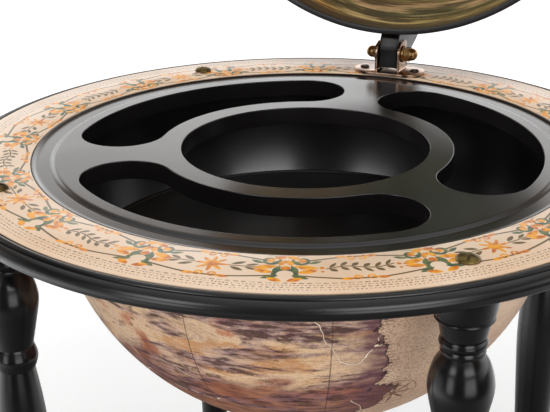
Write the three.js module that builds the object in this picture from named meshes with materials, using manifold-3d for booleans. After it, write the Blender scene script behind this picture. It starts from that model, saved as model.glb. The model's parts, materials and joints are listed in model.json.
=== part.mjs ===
// A floor globe bar: the lower half of a globe hangs in a round board on four turned legs with casters,
// and the upper half is a lid on a hinge at the back. The lid is drawn open, resting on its stop.
// Lengths are millimetres, +Z is up and the front is -Y. Pieces are drawn from the point on the floor under
// the ring's centre, and at the end the whole moves so that its origin is under the middle of its depth.
import * as THREE from "three";
import { mergeVertices } from "three/addons/utils/BufferGeometryUtils.js";
import Module from "manifold-3d";

const wasm = await Module();
wasm.setup();
const radians = THREE.MathUtils.degToRad;

// Clearances shared by all pieces
const seatGap = 0.3;
const runningGap = 0.6;
const overrun = 1;
const weldDistance = 1e-4;

// Facets round each kind of piece
const ringFacets = 54;
const shellFacets = 32;
const turnedFacets = 12;
const stemFacets = 10;
const wheelFacets = 16;
const filletSteps = 3;
const kidneyFacets = 6;
const padSteps = 6;
const domeSteps = 3;
const hexSides = 6;

// Lid: printed shell, painted lining and the black rim ring that drops into the gutter
const lidRimOuterRadius = 169.5;
const lidRimWall = 1.4;
const lidRimFoot = 2.5;
const lidRimHeight = 6;
const lidRimChamfer = 0.7;
const lidShellWall = 1.5;
const lidLiningWall = 0.9;
const lidLatitudes = 7;
const lidOpenAngle = 91.5;
const lidShellRadius = lidRimOuterRadius - lidRimWall - seatGap;
const lidLiningRadius = lidShellRadius - lidShellWall - seatGap;
const lidInnerRadius = lidLiningRadius - lidLiningWall;

// Tray: moulded deck with a round well opening, three kidney openings, skirts and a gutter for the lid
const trayWall = 2.5;
const gutterDepth = 1.6;
const gutterRun = 2.5;
const gutterInnerPlay = 4.6;
const gutterOuterPlay = 1;
const gutterOuterWall = 1.2;
const wellRadius = 79;
const openingSpacing = 15.2;
const deckBorder = 8.8;
const kidneyHalfAngle = 40;
const kidneyCount = 3;
const skirtDepth = 12;
const skirtWall = 2;
const gutterInner = lidInnerRadius - gutterInnerPlay;
const gutterOuter = lidRimOuterRadius + gutterOuterPlay;
const deckRadius = gutterInner - gutterRun;
const trayOuterRadius = gutterOuter + gutterOuterWall;
const kidneyInnerRadius = wellRadius + openingSpacing;
const kidneyOuterRadius = deckRadius - deckBorder;

// Horizon ring: the board that carries the globe, with a bead, a groove and a half-round edge
const ringTop = 765;
const ringThickness = 11.7;
const ledgeWidth = 6;
const bandWidth = 43;
const bandThickness = 0.8;
const beadWidth = 4;
const grooveWidth = 1.6;
const grooveDepth = 1.8;
const edgeDrop = 0.9;
const ringBottom = ringTop - ringThickness;
const ringInnerRadius = trayOuterRadius + seatGap;
const ledgeRadius = ringInnerRadius - ledgeWidth;
const bandOuterRadius = ringInnerRadius + bandWidth;
const edgeRadius = (ringThickness - edgeDrop) / 2;
const beadOuterRadius = bandOuterRadius + seatGap + beadWidth;
const gutterFloor = ringTop - gutterDepth;
const ledgeTop = gutterFloor - trayWall - seatGap;
const lidRimBottom = gutterFloor + seatGap;
const lidCentreHeight = lidRimBottom + lidRimFoot + seatGap;

// Bowl: printed shell, black liner and the floor that bottles stand on
const bowlSetback = 5;
const bowlWall = 2.5;
const bowlDrop = 17;
const bowlFlangeOverlap = 4;
const bowlFlangeThickness = 2.5;
const linerWall = 1.7;
const linerFlangeThickness = 1.5;
const floorDepth = 71;
const floorThickness = 4;
const floorTaper = 3;
const bowlRadius = ledgeRadius - bowlSetback;
const bowlFlangeRadius = ringInnerRadius + bowlFlangeOverlap;
const bowlCentreHeight = ringTop - bowlDrop;
const bowlFlangeTop = ringBottom - seatGap;
const linerOuterRadius = bowlRadius - bowlWall - seatGap;
const linerInnerRadius = linerOuterRadius - linerWall;
const linerFlangeRadius = ledgeRadius - seatGap;
const floorHeight = ringTop - floorDepth;
const floorSine = (bowlCentreHeight - floorHeight) / linerInnerRadius;
const floorAngle = Math.asin(floorSine);
const latitudesAboveFloor = 2;
const latitudesBelowFloor = 5;

// Hinge: a bracket with two ears on the ring, a bolt through them and a folded arm under the lid
const hingeSetback = 15;
const hingeRise = 14.8;
const footWidth = 55;
const footDepth = 29;
const footThickness = 2;
const footSetback = -1.5;
const earThickness = 1.8;
const earFront = 9.2;
const earTopRadius = 6;
const armWidth = 15;
const armSheet = 1.8;
const armWebFront = 6.4;
const armFoldRise = 5.2;
const armHeel = 12;
const armPadStart = 7.5;
const armPadEnd = 30;
const boltRadius = 3;
const boltHeadRadius = 4.5;
const boltHeadLength = 7.3;
const washerRadius = 6.5;
const washerThickness = 1.5;
const nutFlats = 10;
const nutHexLength = 4.6;
const nutDomeRadius = 4.7;
const nutDomeLength = 5.2;
const boltEndInNut = 7;
const rivetRadius = 2;
const rivetHeadRadius = 4;
const rivetHeadHeight = 1.6;
const rivetAngles = [20, 27];
const hingeRadius = ringInnerRadius + hingeSetback;
const footTop = ringTop + seatGap + footThickness;
const hingeHeight = ringTop + hingeRise;
const armClearRadius = hingeHeight - footTop - seatGap;
const earInner = armWidth / 2 + seatGap;
const earOuter = earInner + earThickness;

// Wood screws: slotted domes over the legs and countersunk ones in the hinge foot
const screwSetback = 22.6;
const screwHeadRadius = 6.4;
const screwHeadHeight = 3;
const screwShankRadius = 2.2;
const screwLength = 40;
const slotWidth = 1.6;
const slotDepth = 1.3;
const slotTurn = 20;
const hingeScrewSpacing = 40;
const hingeScrewHeadRadius = 3.6;
const hingeScrewHeadHeight = 1.2;
const hingeScrewShankRadius = 1.6;
const hingeScrewLength = 10;
const screwCircleRadius = ringInnerRadius + screwSetback;

// Turned legs, stretchers, hub and finial
const legBottom = 50;
const legRadius = 17.5;
const legTop = ringBottom - seatGap;
const legLength = legTop - legBottom;
const stretcherHeight = 128;
const stretcherRadius = 11;
const tenonRadius = 5;
const tenonLength = 9;
const hubRadius = 34;
const hubHeight = 30;
const finialRadius = 18;
const finialHeight = 92;
const finialDowelRadius = 5;
const finialDowelLength = 12;

// Casters: stem in the leg, fork on the stem, wheel on its axle
const wheelRadius = 20;
const wheelWidth = 17;
const wheelTreadWidth = 10;
const wheelShoulder = 2.5;
const wheelBossRadius = 8;
const wheelDish = 1;
const axleRadius = 3;
const axleHeadRadius = 4.5;
const axleHeadLength = 1.5;
const trail = 14;
const forkSheet = 2.5;
const forkEndRadius = 6.5;
const forkFront = 12;
const stemRadius = 4;
const stemLength = 28;
const stemFlangeRadius = 12;
const stemFlangeThickness = 2;
const stemPinRadius = 3.5;
const stemHeadRadius = 6;
const stemHeadThickness = 2;
const wheelAxisHeight = wheelRadius * Math.cos(Math.PI / wheelFacets);
const forkInner = wheelWidth / 2 + runningGap;
const forkOuter = forkInner + forkSheet;
const stemFlangeTop = legBottom - seatGap;
const stemFlangeBottom = stemFlangeTop - stemFlangeThickness;
const forkTop = stemFlangeBottom - seatGap;
const stemHeadTop = forkTop - forkSheet - seatGap;

// Outlines of the turned pieces, from the top down: each row is a share of the radius and of the length.
// The arm's sole has shares of the way back and up from its heel to the end of its pad.
const legOutlineShares = [
  [0.98, 0],
  [0.99, 0.008],
  [0.86, 0.0265],
  [0.79, 0.0275],
  [0.69, 0.0405],
  [0.64, 0.0415],
  [0.73, 0.046],
  [0.64, 0.051],
  [0.66, 0.055],
  [0.84, 0.064],
  [0.98, 0.0765],
  [0.99, 0.087],
  [0.84, 0.106],
  [0.66, 0.127],
  [0.79, 0.138],
  [0.66, 0.149],
  [0.93, 0.24],
  [0.63, 0.41],
  [0.62, 0.56],
  [0.91, 0.73],
  [0.62, 0.805],
  [0.86, 0.822],
  [1, 0.845],
  [1, 0.93],
  [0.72, 0.95],
  [0.9, 0.975],
  [0.8, 1],
];
const stretcherOutlineShares = [
  [0.7, 0],
  [1, 0.03],
  [0.72, 0.08],
  [1, 0.5],
  [0.72, 0.92],
  [1, 0.97],
  [0.7, 1],
];
const hubOutlineShares = [
  [0.62, 0],
  [0.86, 0.1],
  [1, 0.2],
  [1, 0.75],
  [0.9, 0.85],
  [0.6, 1],
];
const armSoleShares = [
  [0.3, 0.16],
  [0.64, 0.3],
  [0.92, 0.54],
];
const finialOutlineShares = [
  [0.3, 0],
  [0.58, 0.07],
  [0.6, 0.17],
  [0.32, 0.25],
  [0.42, 0.3],
  [0.95, 0.46],
  [1, 0.58],
  [0.72, 0.7],
  [0.34, 0.78],
  [0.34, 0.84],
  [0.92, 0.9],
  [0.92, 1],
];

// Finishes
const finish = (color, roughness, metalness) =>
  new THREE.MeshStandardMaterial({ color, roughness, metalness });
const blackLacquer = finish(0x121113, 0.25, 0);
const blackPlastic = finish(0x1b191a, 0.35, 0);
const printedBand = finish(0xe2c8b1, 0.5, 0);
const printedMap = finish(0xc9a98c, 0.5, 0);
const paintedLining = finish(0xa3895c, 0.4, 0);
const agedBrass = finish(0x8a6534, 0.35, 1);
const bronzedSteel = finish(0xb58a6c, 0.3, 1);
const darkSteel = finish(0x2a2623, 0.4, 1);
const blackRubber = finish(0x17171a, 0.6, 0);

// A geometry with only positions, its shared vertices merged and its faces turned outwards
function closedForm(geometry) {
  const loose = geometry.index ? geometry.toNonIndexed() : geometry;
  const bare = new THREE.BufferGeometry();
  bare.setAttribute("position", loose.getAttribute("position"));
  const merged = mergeVertices(bare, weldDistance);
  const indices = merged.index.array;
  const places = merged.getAttribute("position");
  const kept = [];
  const a = new THREE.Vector3();
  const b = new THREE.Vector3();
  const c = new THREE.Vector3();
  let volume = 0;
  for (let i = 0; i < indices.length; i += 3) {
    const [p, q, r] = indices.slice(i, i + 3);
    if (p === q || q === r || r === p) continue;
    kept.push(p, q, r);
    a.fromBufferAttribute(places, p);
    b.fromBufferAttribute(places, q);
    c.fromBufferAttribute(places, r);
    volume += a.dot(b.cross(c));
  }
  merged.setIndex(volume < 0 ? kept.reverse() : kept);
  return merged;
}

function toSolid(geometry) {
  const form = closedForm(geometry);
  const vertProperties = new Float32Array(form.getAttribute("position").array);
  const triVerts = new Uint32Array(form.index.array);
  return new wasm.Manifold(new wasm.Mesh({ numProp: 3, vertProperties, triVerts }));
}

function toGeometry(solid) {
  const mesh = solid.getMesh();
  const geometry = new THREE.BufferGeometry();
  geometry.setAttribute("position", new THREE.BufferAttribute(mesh.vertProperties, 3));
  geometry.setIndex(new THREE.BufferAttribute(mesh.triVerts, 1));
  return geometry;
}

function join(...geometries) {
  return toGeometry(geometries.map(toSolid).reduce((whole, next) => whole.add(next)));
}

function cut(geometry, ...tools) {
  return toGeometry(tools.map(toSolid).reduce((rest, tool) => rest.subtract(tool), toSolid(geometry)));
}

// A body of revolution about Z from [radius, height] points
function turned(points, facets, start = 0) {
  const outline = points.map(([radius, height]) => new THREE.Vector2(radius, height));
  return new THREE.LatheGeometry(outline, facets, start).rotateX(Math.PI / 2);
}

// A turned ring, whose outline closes on itself
function turnedRing(points, facets) {
  return turned([...points, points[0]], facets);
}

function turnedAlongX(points, facets, start = 0) {
  return turned(points, facets, start).rotateY(Math.PI / 2);
}

function rod(radius, bottom, top, facets) {
  return turned([[0, bottom], [radius, bottom], [radius, top], [0, top]], facets);
}

function plate(shape, thickness, bottom, curveSegments) {
  const options = { depth: thickness, bevelEnabled: false, curveSegments };
  return new THREE.ExtrudeGeometry(shape, options).translate(0, 0, bottom);
}

// A plate whose outline is drawn in Y and Z and whose thickness runs along X
function sidePlate(shape, thickness, left, curveSegments) {
  const turn = new THREE.Matrix4().makeBasis(
    new THREE.Vector3(0, 1, 0),
    new THREE.Vector3(0, 0, 1),
    new THREE.Vector3(1, 0, 0),
  );
  return plate(shape, thickness, left, curveSegments).applyMatrix4(turn);
}

function polygon(points) {
  return new THREE.Shape(points.map(([x, y]) => new THREE.Vector2(x, y)));
}

// Points on an arc from one angle to another, both in radians
function arcPoints(centre, radius, from, to, steps) {
  return Array.from({ length: steps + 1 }, (_, i) => {
    const angle = from + ((to - from) * i) / steps;
    return [centre[0] + radius * Math.cos(angle), centre[1] + radius * Math.sin(angle)];
  });
}

// A dome's outline, a quarter of an ellipse, from the edge of its base up to its top
function domePoints(radius, base, height) {
  return Array.from({ length: domeSteps + 1 }, (_, i) => {
    const angle = ((Math.PI / 2) * i) / domeSteps;
    return [i === domeSteps ? 0 : radius * Math.cos(angle), base + height * Math.sin(angle)];
  });
}

function shareOutline(shares, radius, top, length) {
  return shares.map(([radiusShare, lengthShare]) => [radius * radiusShare, top - length * lengthShare]);
}

function named(name, geometry, material) {
  const mesh = new THREE.Mesh(closedForm(geometry), material);
  mesh.name = name;
  return mesh;
}

const globeBar = new THREE.Group();
const corners = [
  ["front_right", 45],
  ["back_right", 135],
  ["back_left", 225],
  ["front_left", 315],
];

// Moves a piece from the ring's axis to a place on a circle, counted from the front towards +X
function onCircle(geometry, radius, degrees) {
  return geometry.translate(0, -radius, 0).rotateZ(radians(degrees));
}

// Ring board
const hingeScrewPlaces = [-hingeScrewSpacing / 2, hingeScrewSpacing / 2];
const footCentre = hingeRadius + footSetback;
const bandSeat = ringTop - bandThickness - seatGap;
const edgeCentre = [beadOuterRadius, ringTop - edgeDrop - edgeRadius];
const edgeStart = Math.acos(grooveWidth / edgeRadius);
const ringBoard = turnedRing(
  [
    [ringInnerRadius, bandSeat],
    [bandOuterRadius + seatGap, bandSeat],
    [bandOuterRadius + seatGap, ringTop],
    [beadOuterRadius, ringTop],
    [beadOuterRadius, ringTop - grooveDepth],
    ...arcPoints(edgeCentre, edgeRadius, edgeStart, -Math.PI / 2, 2 * filletSteps),
    [ledgeRadius, ringBottom],
    [ledgeRadius, ledgeTop],
    [ringInnerRadius, ledgeTop],
  ],
  ringFacets,
);
const screwHoleRadius = screwShankRadius + seatGap;
const screwHoles = corners.map(([, degrees]) =>
  onCircle(
    rod(screwHoleRadius, ringBottom - overrun, ringTop + overrun, stemFacets),
    screwCircleRadius,
    degrees,
  ),
);
const hingeHoleRadius = hingeScrewShankRadius + seatGap;
const hingeHoles = hingeScrewPlaces.map((x) =>
  rod(hingeHoleRadius, footTop - hingeScrewLength - overrun, footTop + overrun, stemFacets).translate(
    x,
    footCentre,
    0,
  ),
);
globeBar.add(named("horizon_ring", cut(ringBoard, ...screwHoles, ...hingeHoles), blackLacquer));

// Printed band
const band = turnedRing(
  [
    [ringInnerRadius, ringTop - bandThickness],
    [bandOuterRadius, ringTop - bandThickness],
    [bandOuterRadius, ringTop],
    [ringInnerRadius, ringTop],
  ],
  ringFacets,
);
globeBar.add(named("ring_band", cut(band, ...screwHoles, ...hingeHoles), printedBand));

// Slotted dome screws that hold the ring to the legs
const headBottom = ringTop + seatGap;
for (const [corner, degrees] of corners) {
  const head = domePoints(screwHeadRadius, headBottom, screwHeadHeight);
  const shankEnd = headBottom - screwLength;
  const body = turned(
    [[0, shankEnd], [screwShankRadius, shankEnd], [screwShankRadius, headBottom], ...head],
    stemFacets,
  );
  const slot = new THREE.BoxGeometry(2 * screwHeadRadius + overrun, slotWidth, 2 * slotDepth)
    .translate(0, 0, headBottom + screwHeadHeight)
    .rotateZ(radians(slotTurn));
  const screw = onCircle(cut(body, slot), screwCircleRadius, degrees);
  globeBar.add(named(`ring_screw_${corner}`, screw, agedBrass));
}

// Tray deck with its openings
function kidneyOutline(grow, shape, degrees) {
  const middle = radians(degrees) - Math.PI / 2;
  const from = middle - radians(kidneyHalfAngle);
  const to = middle + radians(kidneyHalfAngle);
  const centreRadius = (kidneyInnerRadius + kidneyOuterRadius) / 2;
  const endRadius = (kidneyOuterRadius - kidneyInnerRadius) / 2 + grow;
  const ends = [from, to].map((angle) => [centreRadius * Math.cos(angle), centreRadius * Math.sin(angle)]);
  shape.absarc(0, 0, kidneyOuterRadius + grow, from, to, false);
  shape.absarc(ends[1][0], ends[1][1], endRadius, to, to + Math.PI, false);
  shape.absarc(0, 0, kidneyInnerRadius - grow, to, from, true);
  shape.absarc(ends[0][0], ends[0][1], endRadius, from + Math.PI, from + 2 * Math.PI, false);
  return shape;
}

const kidneyPlaces = Array.from({ length: kidneyCount }, (_, i) => (360 * i) / kidneyCount);
const skirtBottom = ringTop - skirtDepth;
const skirts = kidneyPlaces.map((degrees) => {
  const skirt = kidneyOutline(skirtWall, new THREE.Shape(), degrees);
  skirt.holes.push(kidneyOutline(0, new THREE.Path(), degrees));
  return plate(skirt, skirtDepth - trayWall / 2, skirtBottom, kidneyFacets);
});
const wellSkirt = turnedRing(
  [
    [wellRadius, skirtBottom],
    [wellRadius + skirtWall, skirtBottom],
    [wellRadius + skirtWall, ringTop - trayWall / 2],
    [wellRadius, ringTop - trayWall / 2],
  ],
  ringFacets,
);
const deck = turnedRing(
  [
    [wellRadius, ringTop - trayWall],
    [deckRadius - trayWall / 2, ringTop - trayWall],
    [gutterInner - trayWall / 2, gutterFloor - trayWall],
    [trayOuterRadius, gutterFloor - trayWall],
    [trayOuterRadius, ringTop - seatGap],
    [gutterOuter, ringTop - seatGap],
    [gutterOuter, gutterFloor],
    [gutterInner, gutterFloor],
    [deckRadius, ringTop],
    [wellRadius, ringTop],
  ],
  ringFacets,
);
const kidneyCuts = kidneyPlaces.map((degrees) =>
  plate(
    kidneyOutline(0, new THREE.Shape(), degrees),
    skirtDepth + 2 * overrun,
    skirtBottom - overrun,
    kidneyFacets,
  ),
);
globeBar.add(named("tray", cut(join(deck, wellSkirt, ...skirts), ...kidneyCuts), blackPlastic));

// Bowl: the latitudes break where the floor meets the liner, so that the floor's edge seats on it
const bowlLatitudes = [];
for (let i = 0; i < latitudesAboveFloor; i += 1) bowlLatitudes.push((floorAngle * i) / latitudesAboveFloor);
for (let i = 0; i <= latitudesBelowFloor; i += 1) {
  bowlLatitudes.push(floorAngle + ((Math.PI / 2 - floorAngle) * i) / latitudesBelowFloor);
}
function bowlArc(radius) {
  return bowlLatitudes.map((angle, i) => [
    i === bowlLatitudes.length - 1 ? 0 : radius * Math.cos(angle),
    bowlCentreHeight - radius * Math.sin(angle),
  ]);
}
const bowlFlangeBottom = bowlFlangeTop - bowlFlangeThickness;
const bowlShell = turned(
  [
    ...bowlArc(bowlRadius).reverse(),
    [bowlRadius, bowlFlangeBottom],
    [bowlFlangeRadius, bowlFlangeBottom],
    [bowlFlangeRadius, bowlFlangeTop],
    [bowlRadius - bowlWall, bowlFlangeTop],
    ...bowlArc(bowlRadius - bowlWall),
  ],
  shellFacets,
);
globeBar.add(named("bowl_shell", bowlShell, printedMap));

const linerFlangeBottom = bowlFlangeTop + seatGap;
const bowlLiner = turned(
  [
    ...bowlArc(linerOuterRadius).reverse(),
    [linerOuterRadius, linerFlangeBottom],
    [linerFlangeRadius, linerFlangeBottom],
    [linerFlangeRadius, linerFlangeBottom + linerFlangeThickness],
    [linerInnerRadius, linerFlangeBottom + linerFlangeThickness],
    ...bowlArc(linerInnerRadius),
  ],
  shellFacets,
);
globeBar.add(named("bowl_liner", bowlLiner, blackPlastic));

const floorRadius = linerInnerRadius * Math.cos(floorAngle) - seatGap;
const bowlFloor = turned(
  [
    [0, floorHeight - floorThickness],
    [floorRadius - floorTaper, floorHeight - floorThickness],
    [floorRadius, floorHeight],
    [0, floorHeight],
  ],
  shellFacets,
);
globeBar.add(named("bowl_floor", bowlFloor, blackPlastic));

// Hinge bracket on the ring
const footShape = new THREE.Shape();
const footEnd = footWidth / 2 - footDepth / 2;
footShape.absarc(footEnd, footCentre, footDepth / 2, -Math.PI / 2, Math.PI / 2, false);
footShape.absarc(-footEnd, footCentre, footDepth / 2, Math.PI / 2, (3 * Math.PI) / 2, false);
const foot = plate(footShape, footThickness, ringTop + seatGap, kidneyFacets);
const earBack = footCentre + footDepth / 2;
const earTop = hingeHeight + earFront;
const earShape = new THREE.Shape();
earShape.moveTo(hingeRadius - earFront, ringTop + seatGap);
earShape.lineTo(earBack, ringTop + seatGap);
earShape.absarc(earBack - earTopRadius, earTop - earTopRadius, earTopRadius, 0, Math.PI / 2, false);
earShape.absarc(hingeRadius, hingeHeight, earFront, Math.PI / 2, Math.PI, false);
const ears = [-earOuter, earInner].map((left) => sidePlate(earShape, earThickness, left, filletSteps));
const boltHoleRadius = boltRadius + seatGap;
const boltHole = turnedAlongX(
  [[0, -footWidth], [boltHoleRadius, -footWidth], [boltHoleRadius, footWidth], [0, footWidth]],
  stemFacets,
).translate(0, hingeRadius, hingeHeight);
globeBar.add(named("hinge_bracket", cut(join(foot, ...ears), boltHole, ...hingeHoles), bronzedSteel));

["left", "right"].forEach((side, i) => {
  const shankEnd = footTop + seatGap - hingeScrewLength;
  const seat = footTop + seatGap;
  const screw = turned(
    [
      [0, shankEnd],
      [hingeScrewShankRadius, shankEnd],
      [hingeScrewShankRadius, seat],
      [hingeScrewHeadRadius, seat],
      [hingeScrewHeadRadius / 2, seat + hingeScrewHeadHeight],
      [0, seat + hingeScrewHeadHeight],
    ],
    stemFacets,
  ).translate(hingeScrewPlaces[i], footCentre, 0);
  globeBar.add(named(`hinge_screw_${side}`, screw, darkSteel));
});

// Hinge bolt, washers and dome nut, along X
const washerInner = earOuter + seatGap;
const washerOuter = washerInner + washerThickness;
const fastenerSeat = washerOuter + seatGap;
const boltEnd = fastenerSeat + boltEndInNut;
const hingeGroup = new THREE.Group();
hingeGroup.position.set(0, hingeRadius, hingeHeight);
const boltHead = domePoints(boltHeadRadius, -fastenerSeat, -boltHeadLength).reverse();
const bolt = turnedAlongX(
  [
    ...boltHead,
    [boltRadius, -fastenerSeat],
    [boltRadius, boltEnd],
    [0, boltEnd],
  ],
  stemFacets,
);
hingeGroup.add(named("hinge_bolt", bolt, agedBrass));
for (const [side, sign] of [["left", -1], ["right", 1]]) {
  const washer = turnedRing(
    [
      [boltHoleRadius, washerInner],
      [washerRadius, washerInner],
      [washerRadius, washerOuter],
      [boltHoleRadius, washerOuter],
    ],
    stemFacets,
  ).rotateY((sign * Math.PI) / 2);
  hingeGroup.add(named(`hinge_washer_${side}`, washer, agedBrass));
}
const nutCorner = nutFlats / Math.sqrt(3);
const nutHex = turnedAlongX(
  [
    [0, fastenerSeat],
    [nutCorner, fastenerSeat],
    [nutCorner, fastenerSeat + nutHexLength],
    [0, fastenerSeat + nutHexLength],
  ],
  hexSides,
);
const nutDomeBase = fastenerSeat + nutHexLength;
const nutDome = turnedAlongX(
  [
    [0, nutDomeBase - overrun],
    [nutDomeRadius, nutDomeBase - overrun],
    ...domePoints(nutDomeRadius, nutDomeBase, nutDomeLength),
  ],
  stemFacets,
);
const nutBore = turnedAlongX(
  [
    [0, fastenerSeat - overrun],
    [boltHoleRadius, fastenerSeat - overrun],
    [boltHoleRadius, boltEnd + seatGap],
    [0, boltEnd + seatGap],
  ],
  stemFacets,
);
hingeGroup.add(named("hinge_dome_nut", cut(join(nutHex, nutDome), nutBore), agedBrass));
globeBar.add(hingeGroup);

// Lid: its pieces are drawn closed, from the hinge axis, and the group swings them open
const lidGroup = new THREE.Group();
lidGroup.position.set(0, hingeRadius, hingeHeight);
lidGroup.rotation.x = -radians(lidOpenAngle);
const lidCentre = [-hingeRadius, lidCentreHeight - hingeHeight];

function lidArc(radius) {
  return Array.from({ length: lidLatitudes + 1 }, (_, i) => {
    const angle = ((Math.PI / 2) * i) / lidLatitudes;
    return [i === lidLatitudes ? 0 : radius * Math.cos(angle), lidCentre[1] + radius * Math.sin(angle)];
  });
}

function lidShape(outer, inner) {
  return turned([...lidArc(inner).reverse(), ...lidArc(outer)], shellFacets).translate(0, lidCentre[0], 0);
}

// A rivet along the lid's radius at an angle above its rim, at the back; grow widens it into a cutter
function rivetForm(degrees, shankRadius, from, to) {
  return turned([[0, from], [shankRadius, from], [shankRadius, to], [0, to]], stemFacets)
    .rotateX(radians(degrees) - Math.PI / 2)
    .translate(0, lidCentre[0], lidCentre[1]);
}

// Where a rivet's inner head seats: on the flat facet of the lining, counted from the lid's centre
function innerSeatOf(degrees) {
  const step = 90 / lidLatitudes;
  const tilt = radians(degrees - (Math.floor(degrees / step) + 1 / 2) * step);
  const facet = (lidInnerRadius * Math.cos(radians(step / 2))) / Math.cos(tilt);
  return facet - rivetHeadRadius * Math.abs(Math.tan(tilt)) - seatGap;
}

const padInner = lidShellRadius + seatGap;
const padOuter = padInner + armSheet;
const rivetHoles = rivetAngles.map((degrees) =>
  rivetForm(degrees, rivetRadius + seatGap, innerSeatOf(degrees), padOuter + overrun),
);
const lidShell = cut(lidShape(lidShellRadius, lidShellRadius - lidShellWall), ...rivetHoles);
lidGroup.add(named("lid_shell", lidShell, printedMap));
const lidLining = cut(lidShape(lidLiningRadius, lidInnerRadius), ...rivetHoles);
lidGroup.add(named("lid_lining", lidLining, paintedLining));

const rimBottom = lidRimBottom - hingeHeight;
const rimWallRadius = lidRimOuterRadius - lidRimWall;
const lidRim = turnedRing(
  [
    [lidInnerRadius, rimBottom],
    [lidRimOuterRadius - lidRimChamfer, rimBottom],
    [lidRimOuterRadius, rimBottom + lidRimChamfer],
    [lidRimOuterRadius, rimBottom + lidRimHeight - lidRimChamfer],
    [lidRimOuterRadius - lidRimChamfer, rimBottom + lidRimHeight],
    [rimWallRadius, rimBottom + lidRimHeight],
    [rimWallRadius, rimBottom + lidRimFoot],
    [lidInnerRadius, rimBottom + lidRimFoot],
  ],
  shellFacets,
).translate(0, lidCentre[0], 0);
lidGroup.add(named("lid_rim", lidRim, blackPlastic));

// Hinge arm, drawn in the open place round the bolt and turned closed: a web in front, a pad that follows
// the lid and two side flanges, whose straight sole stops on the bracket's foot
const openTurn = radians(lidOpenAngle);
const openLidCentre = [
  lidCentre[0] * Math.cos(openTurn) + lidCentre[1] * Math.sin(openTurn),
  -lidCentre[0] * Math.sin(openTurn) + lidCentre[1] * Math.cos(openTurn),
];
const padFrom = radians(armPadStart) - Math.PI / 2 + (Math.PI / 2 - openTurn);
const padTo = radians(armPadEnd) - Math.PI / 2 + (Math.PI / 2 - openTurn);
const padOutline = arcPoints(openLidCentre, padInner, padFrom, padTo, padSteps);
const padUnderside = arcPoints(openLidCentre, padOuter, padTo, padFrom, padSteps);
const [padEndReach, padEndRise] = padOutline[padSteps];
const soleOutline = armSoleShares.map(([reachShare, riseShare]) => [
  armHeel + (padEndReach - armHeel) * reachShare,
  -armClearRadius + (padEndRise + armClearRadius) * riseShare,
]);
const webBottom = Math.sqrt(armClearRadius ** 2 - armWebFront ** 2);
const soleArcStart = Math.PI + Math.atan2(webBottom, armWebFront);
const flangeOutline = polygon([
  [-armWebFront, armFoldRise],
  ...arcPoints([0, 0], armClearRadius, soleArcStart, (3 * Math.PI) / 2, filletSteps),
  [armHeel, -armClearRadius],
  ...soleOutline,
  ...padOutline.slice().reverse(),
]);
const webOutline = polygon([
  [-armWebFront, armFoldRise],
  [-armWebFront, -webBottom],
  [-armWebFront + armSheet, -webBottom],
  [-armWebFront + armSheet, armFoldRise - armSheet / 2],
  ...padUnderside.slice(0, -1).reverse(),
  ...padOutline.slice().reverse(),
]);
const armForm = join(
  sidePlate(webOutline, armWidth, -armWidth / 2, filletSteps),
  sidePlate(flangeOutline, armSheet, -armWidth / 2, filletSteps),
  sidePlate(flangeOutline, armSheet, armWidth / 2 - armSheet, filletSteps),
).rotateX(openTurn);
const armBoltHole = turnedAlongX(
  [[0, -armWidth], [boltHoleRadius, -armWidth], [boltHoleRadius, armWidth], [0, armWidth]],
  stemFacets,
);
lidGroup.add(named("hinge_arm", cut(armForm, armBoltHole, ...rivetHoles), darkSteel));

["lower", "upper"].forEach((place, i) => {
  const innerSeat = innerSeatOf(rivetAngles[i]);
  const outerSeat = padOuter + seatGap;
  const rivet = turned(
    [
      [0, innerSeat - rivetHeadHeight],
      [rivetHeadRadius / 2, innerSeat - rivetHeadHeight],
      [rivetHeadRadius, innerSeat],
      [rivetRadius, innerSeat],
      [rivetRadius, outerSeat],
      [rivetHeadRadius, outerSeat],
      [rivetHeadRadius / 2, outerSeat + rivetHeadHeight],
      [0, outerSeat + rivetHeadHeight],
    ],
    stemFacets,
  )
    .rotateX(radians(rivetAngles[i]) - Math.PI / 2)
    .translate(0, lidCentre[0], lidCentre[1]);
  lidGroup.add(named(`arm_rivet_${place}`, rivet, darkSteel));
});
globeBar.add(lidGroup);

// Legs and stretchers: drawn with the leg in front of the centre, then turned to each corner
const screwBottom = headBottom - screwLength;
const tenonTip = screwCircleRadius - legRadius + tenonLength;
const stretcherOuter = screwCircleRadius - legRadius - seatGap;
const stretcherInner = hubRadius + seatGap;
const tenonRoot = hubRadius - tenonLength;
const tenonCut = tenonRadius + seatGap;
const tenonHoleTip = tenonTip + seatGap;
const tenonHoleRoot = tenonRoot - seatGap;

function alongRadius(geometry) {
  return geometry.rotateX(Math.PI / 2).translate(0, 0, stretcherHeight);
}

for (const [corner, degrees] of corners) {
  const side = new THREE.Group();
  side.rotation.z = radians(degrees);
  const legOutline = shareOutline(legOutlineShares, legRadius, legTop, legLength);
  const leg = turned([[0, legTop], ...legOutline, [0, legBottom]], turnedFacets);
  const screwHole = rod(screwHoleRadius, screwBottom - seatGap, legTop + overrun, stemFacets);
  const stemHole = rod(stemRadius + seatGap, legBottom - overrun, legBottom + stemLength, stemFacets);
  const mortise = alongRadius(rod(tenonCut, 0, tenonHoleTip, stemFacets)).translate(0, screwCircleRadius, 0);
  const legMesh = named(`leg_${corner}`, cut(leg, screwHole, stemHole, mortise), blackLacquer);
  legMesh.position.y = -screwCircleRadius;
  side.add(legMesh);

  const length = stretcherOuter - stretcherInner;
  const spindle = shareOutline(stretcherOutlineShares, stretcherRadius, stretcherOuter, length);
  const stretcher = turned(
    [
      [0, tenonTip],
      [tenonRadius, tenonTip],
      [tenonRadius, stretcherOuter],
      ...spindle,
      [tenonRadius, stretcherInner],
      [tenonRadius, tenonRoot],
      [0, tenonRoot],
    ],
    stemFacets,
  );
  side.add(named(`stretcher_${corner}`, alongRadius(stretcher), blackLacquer));
  globeBar.add(side);
}

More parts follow.
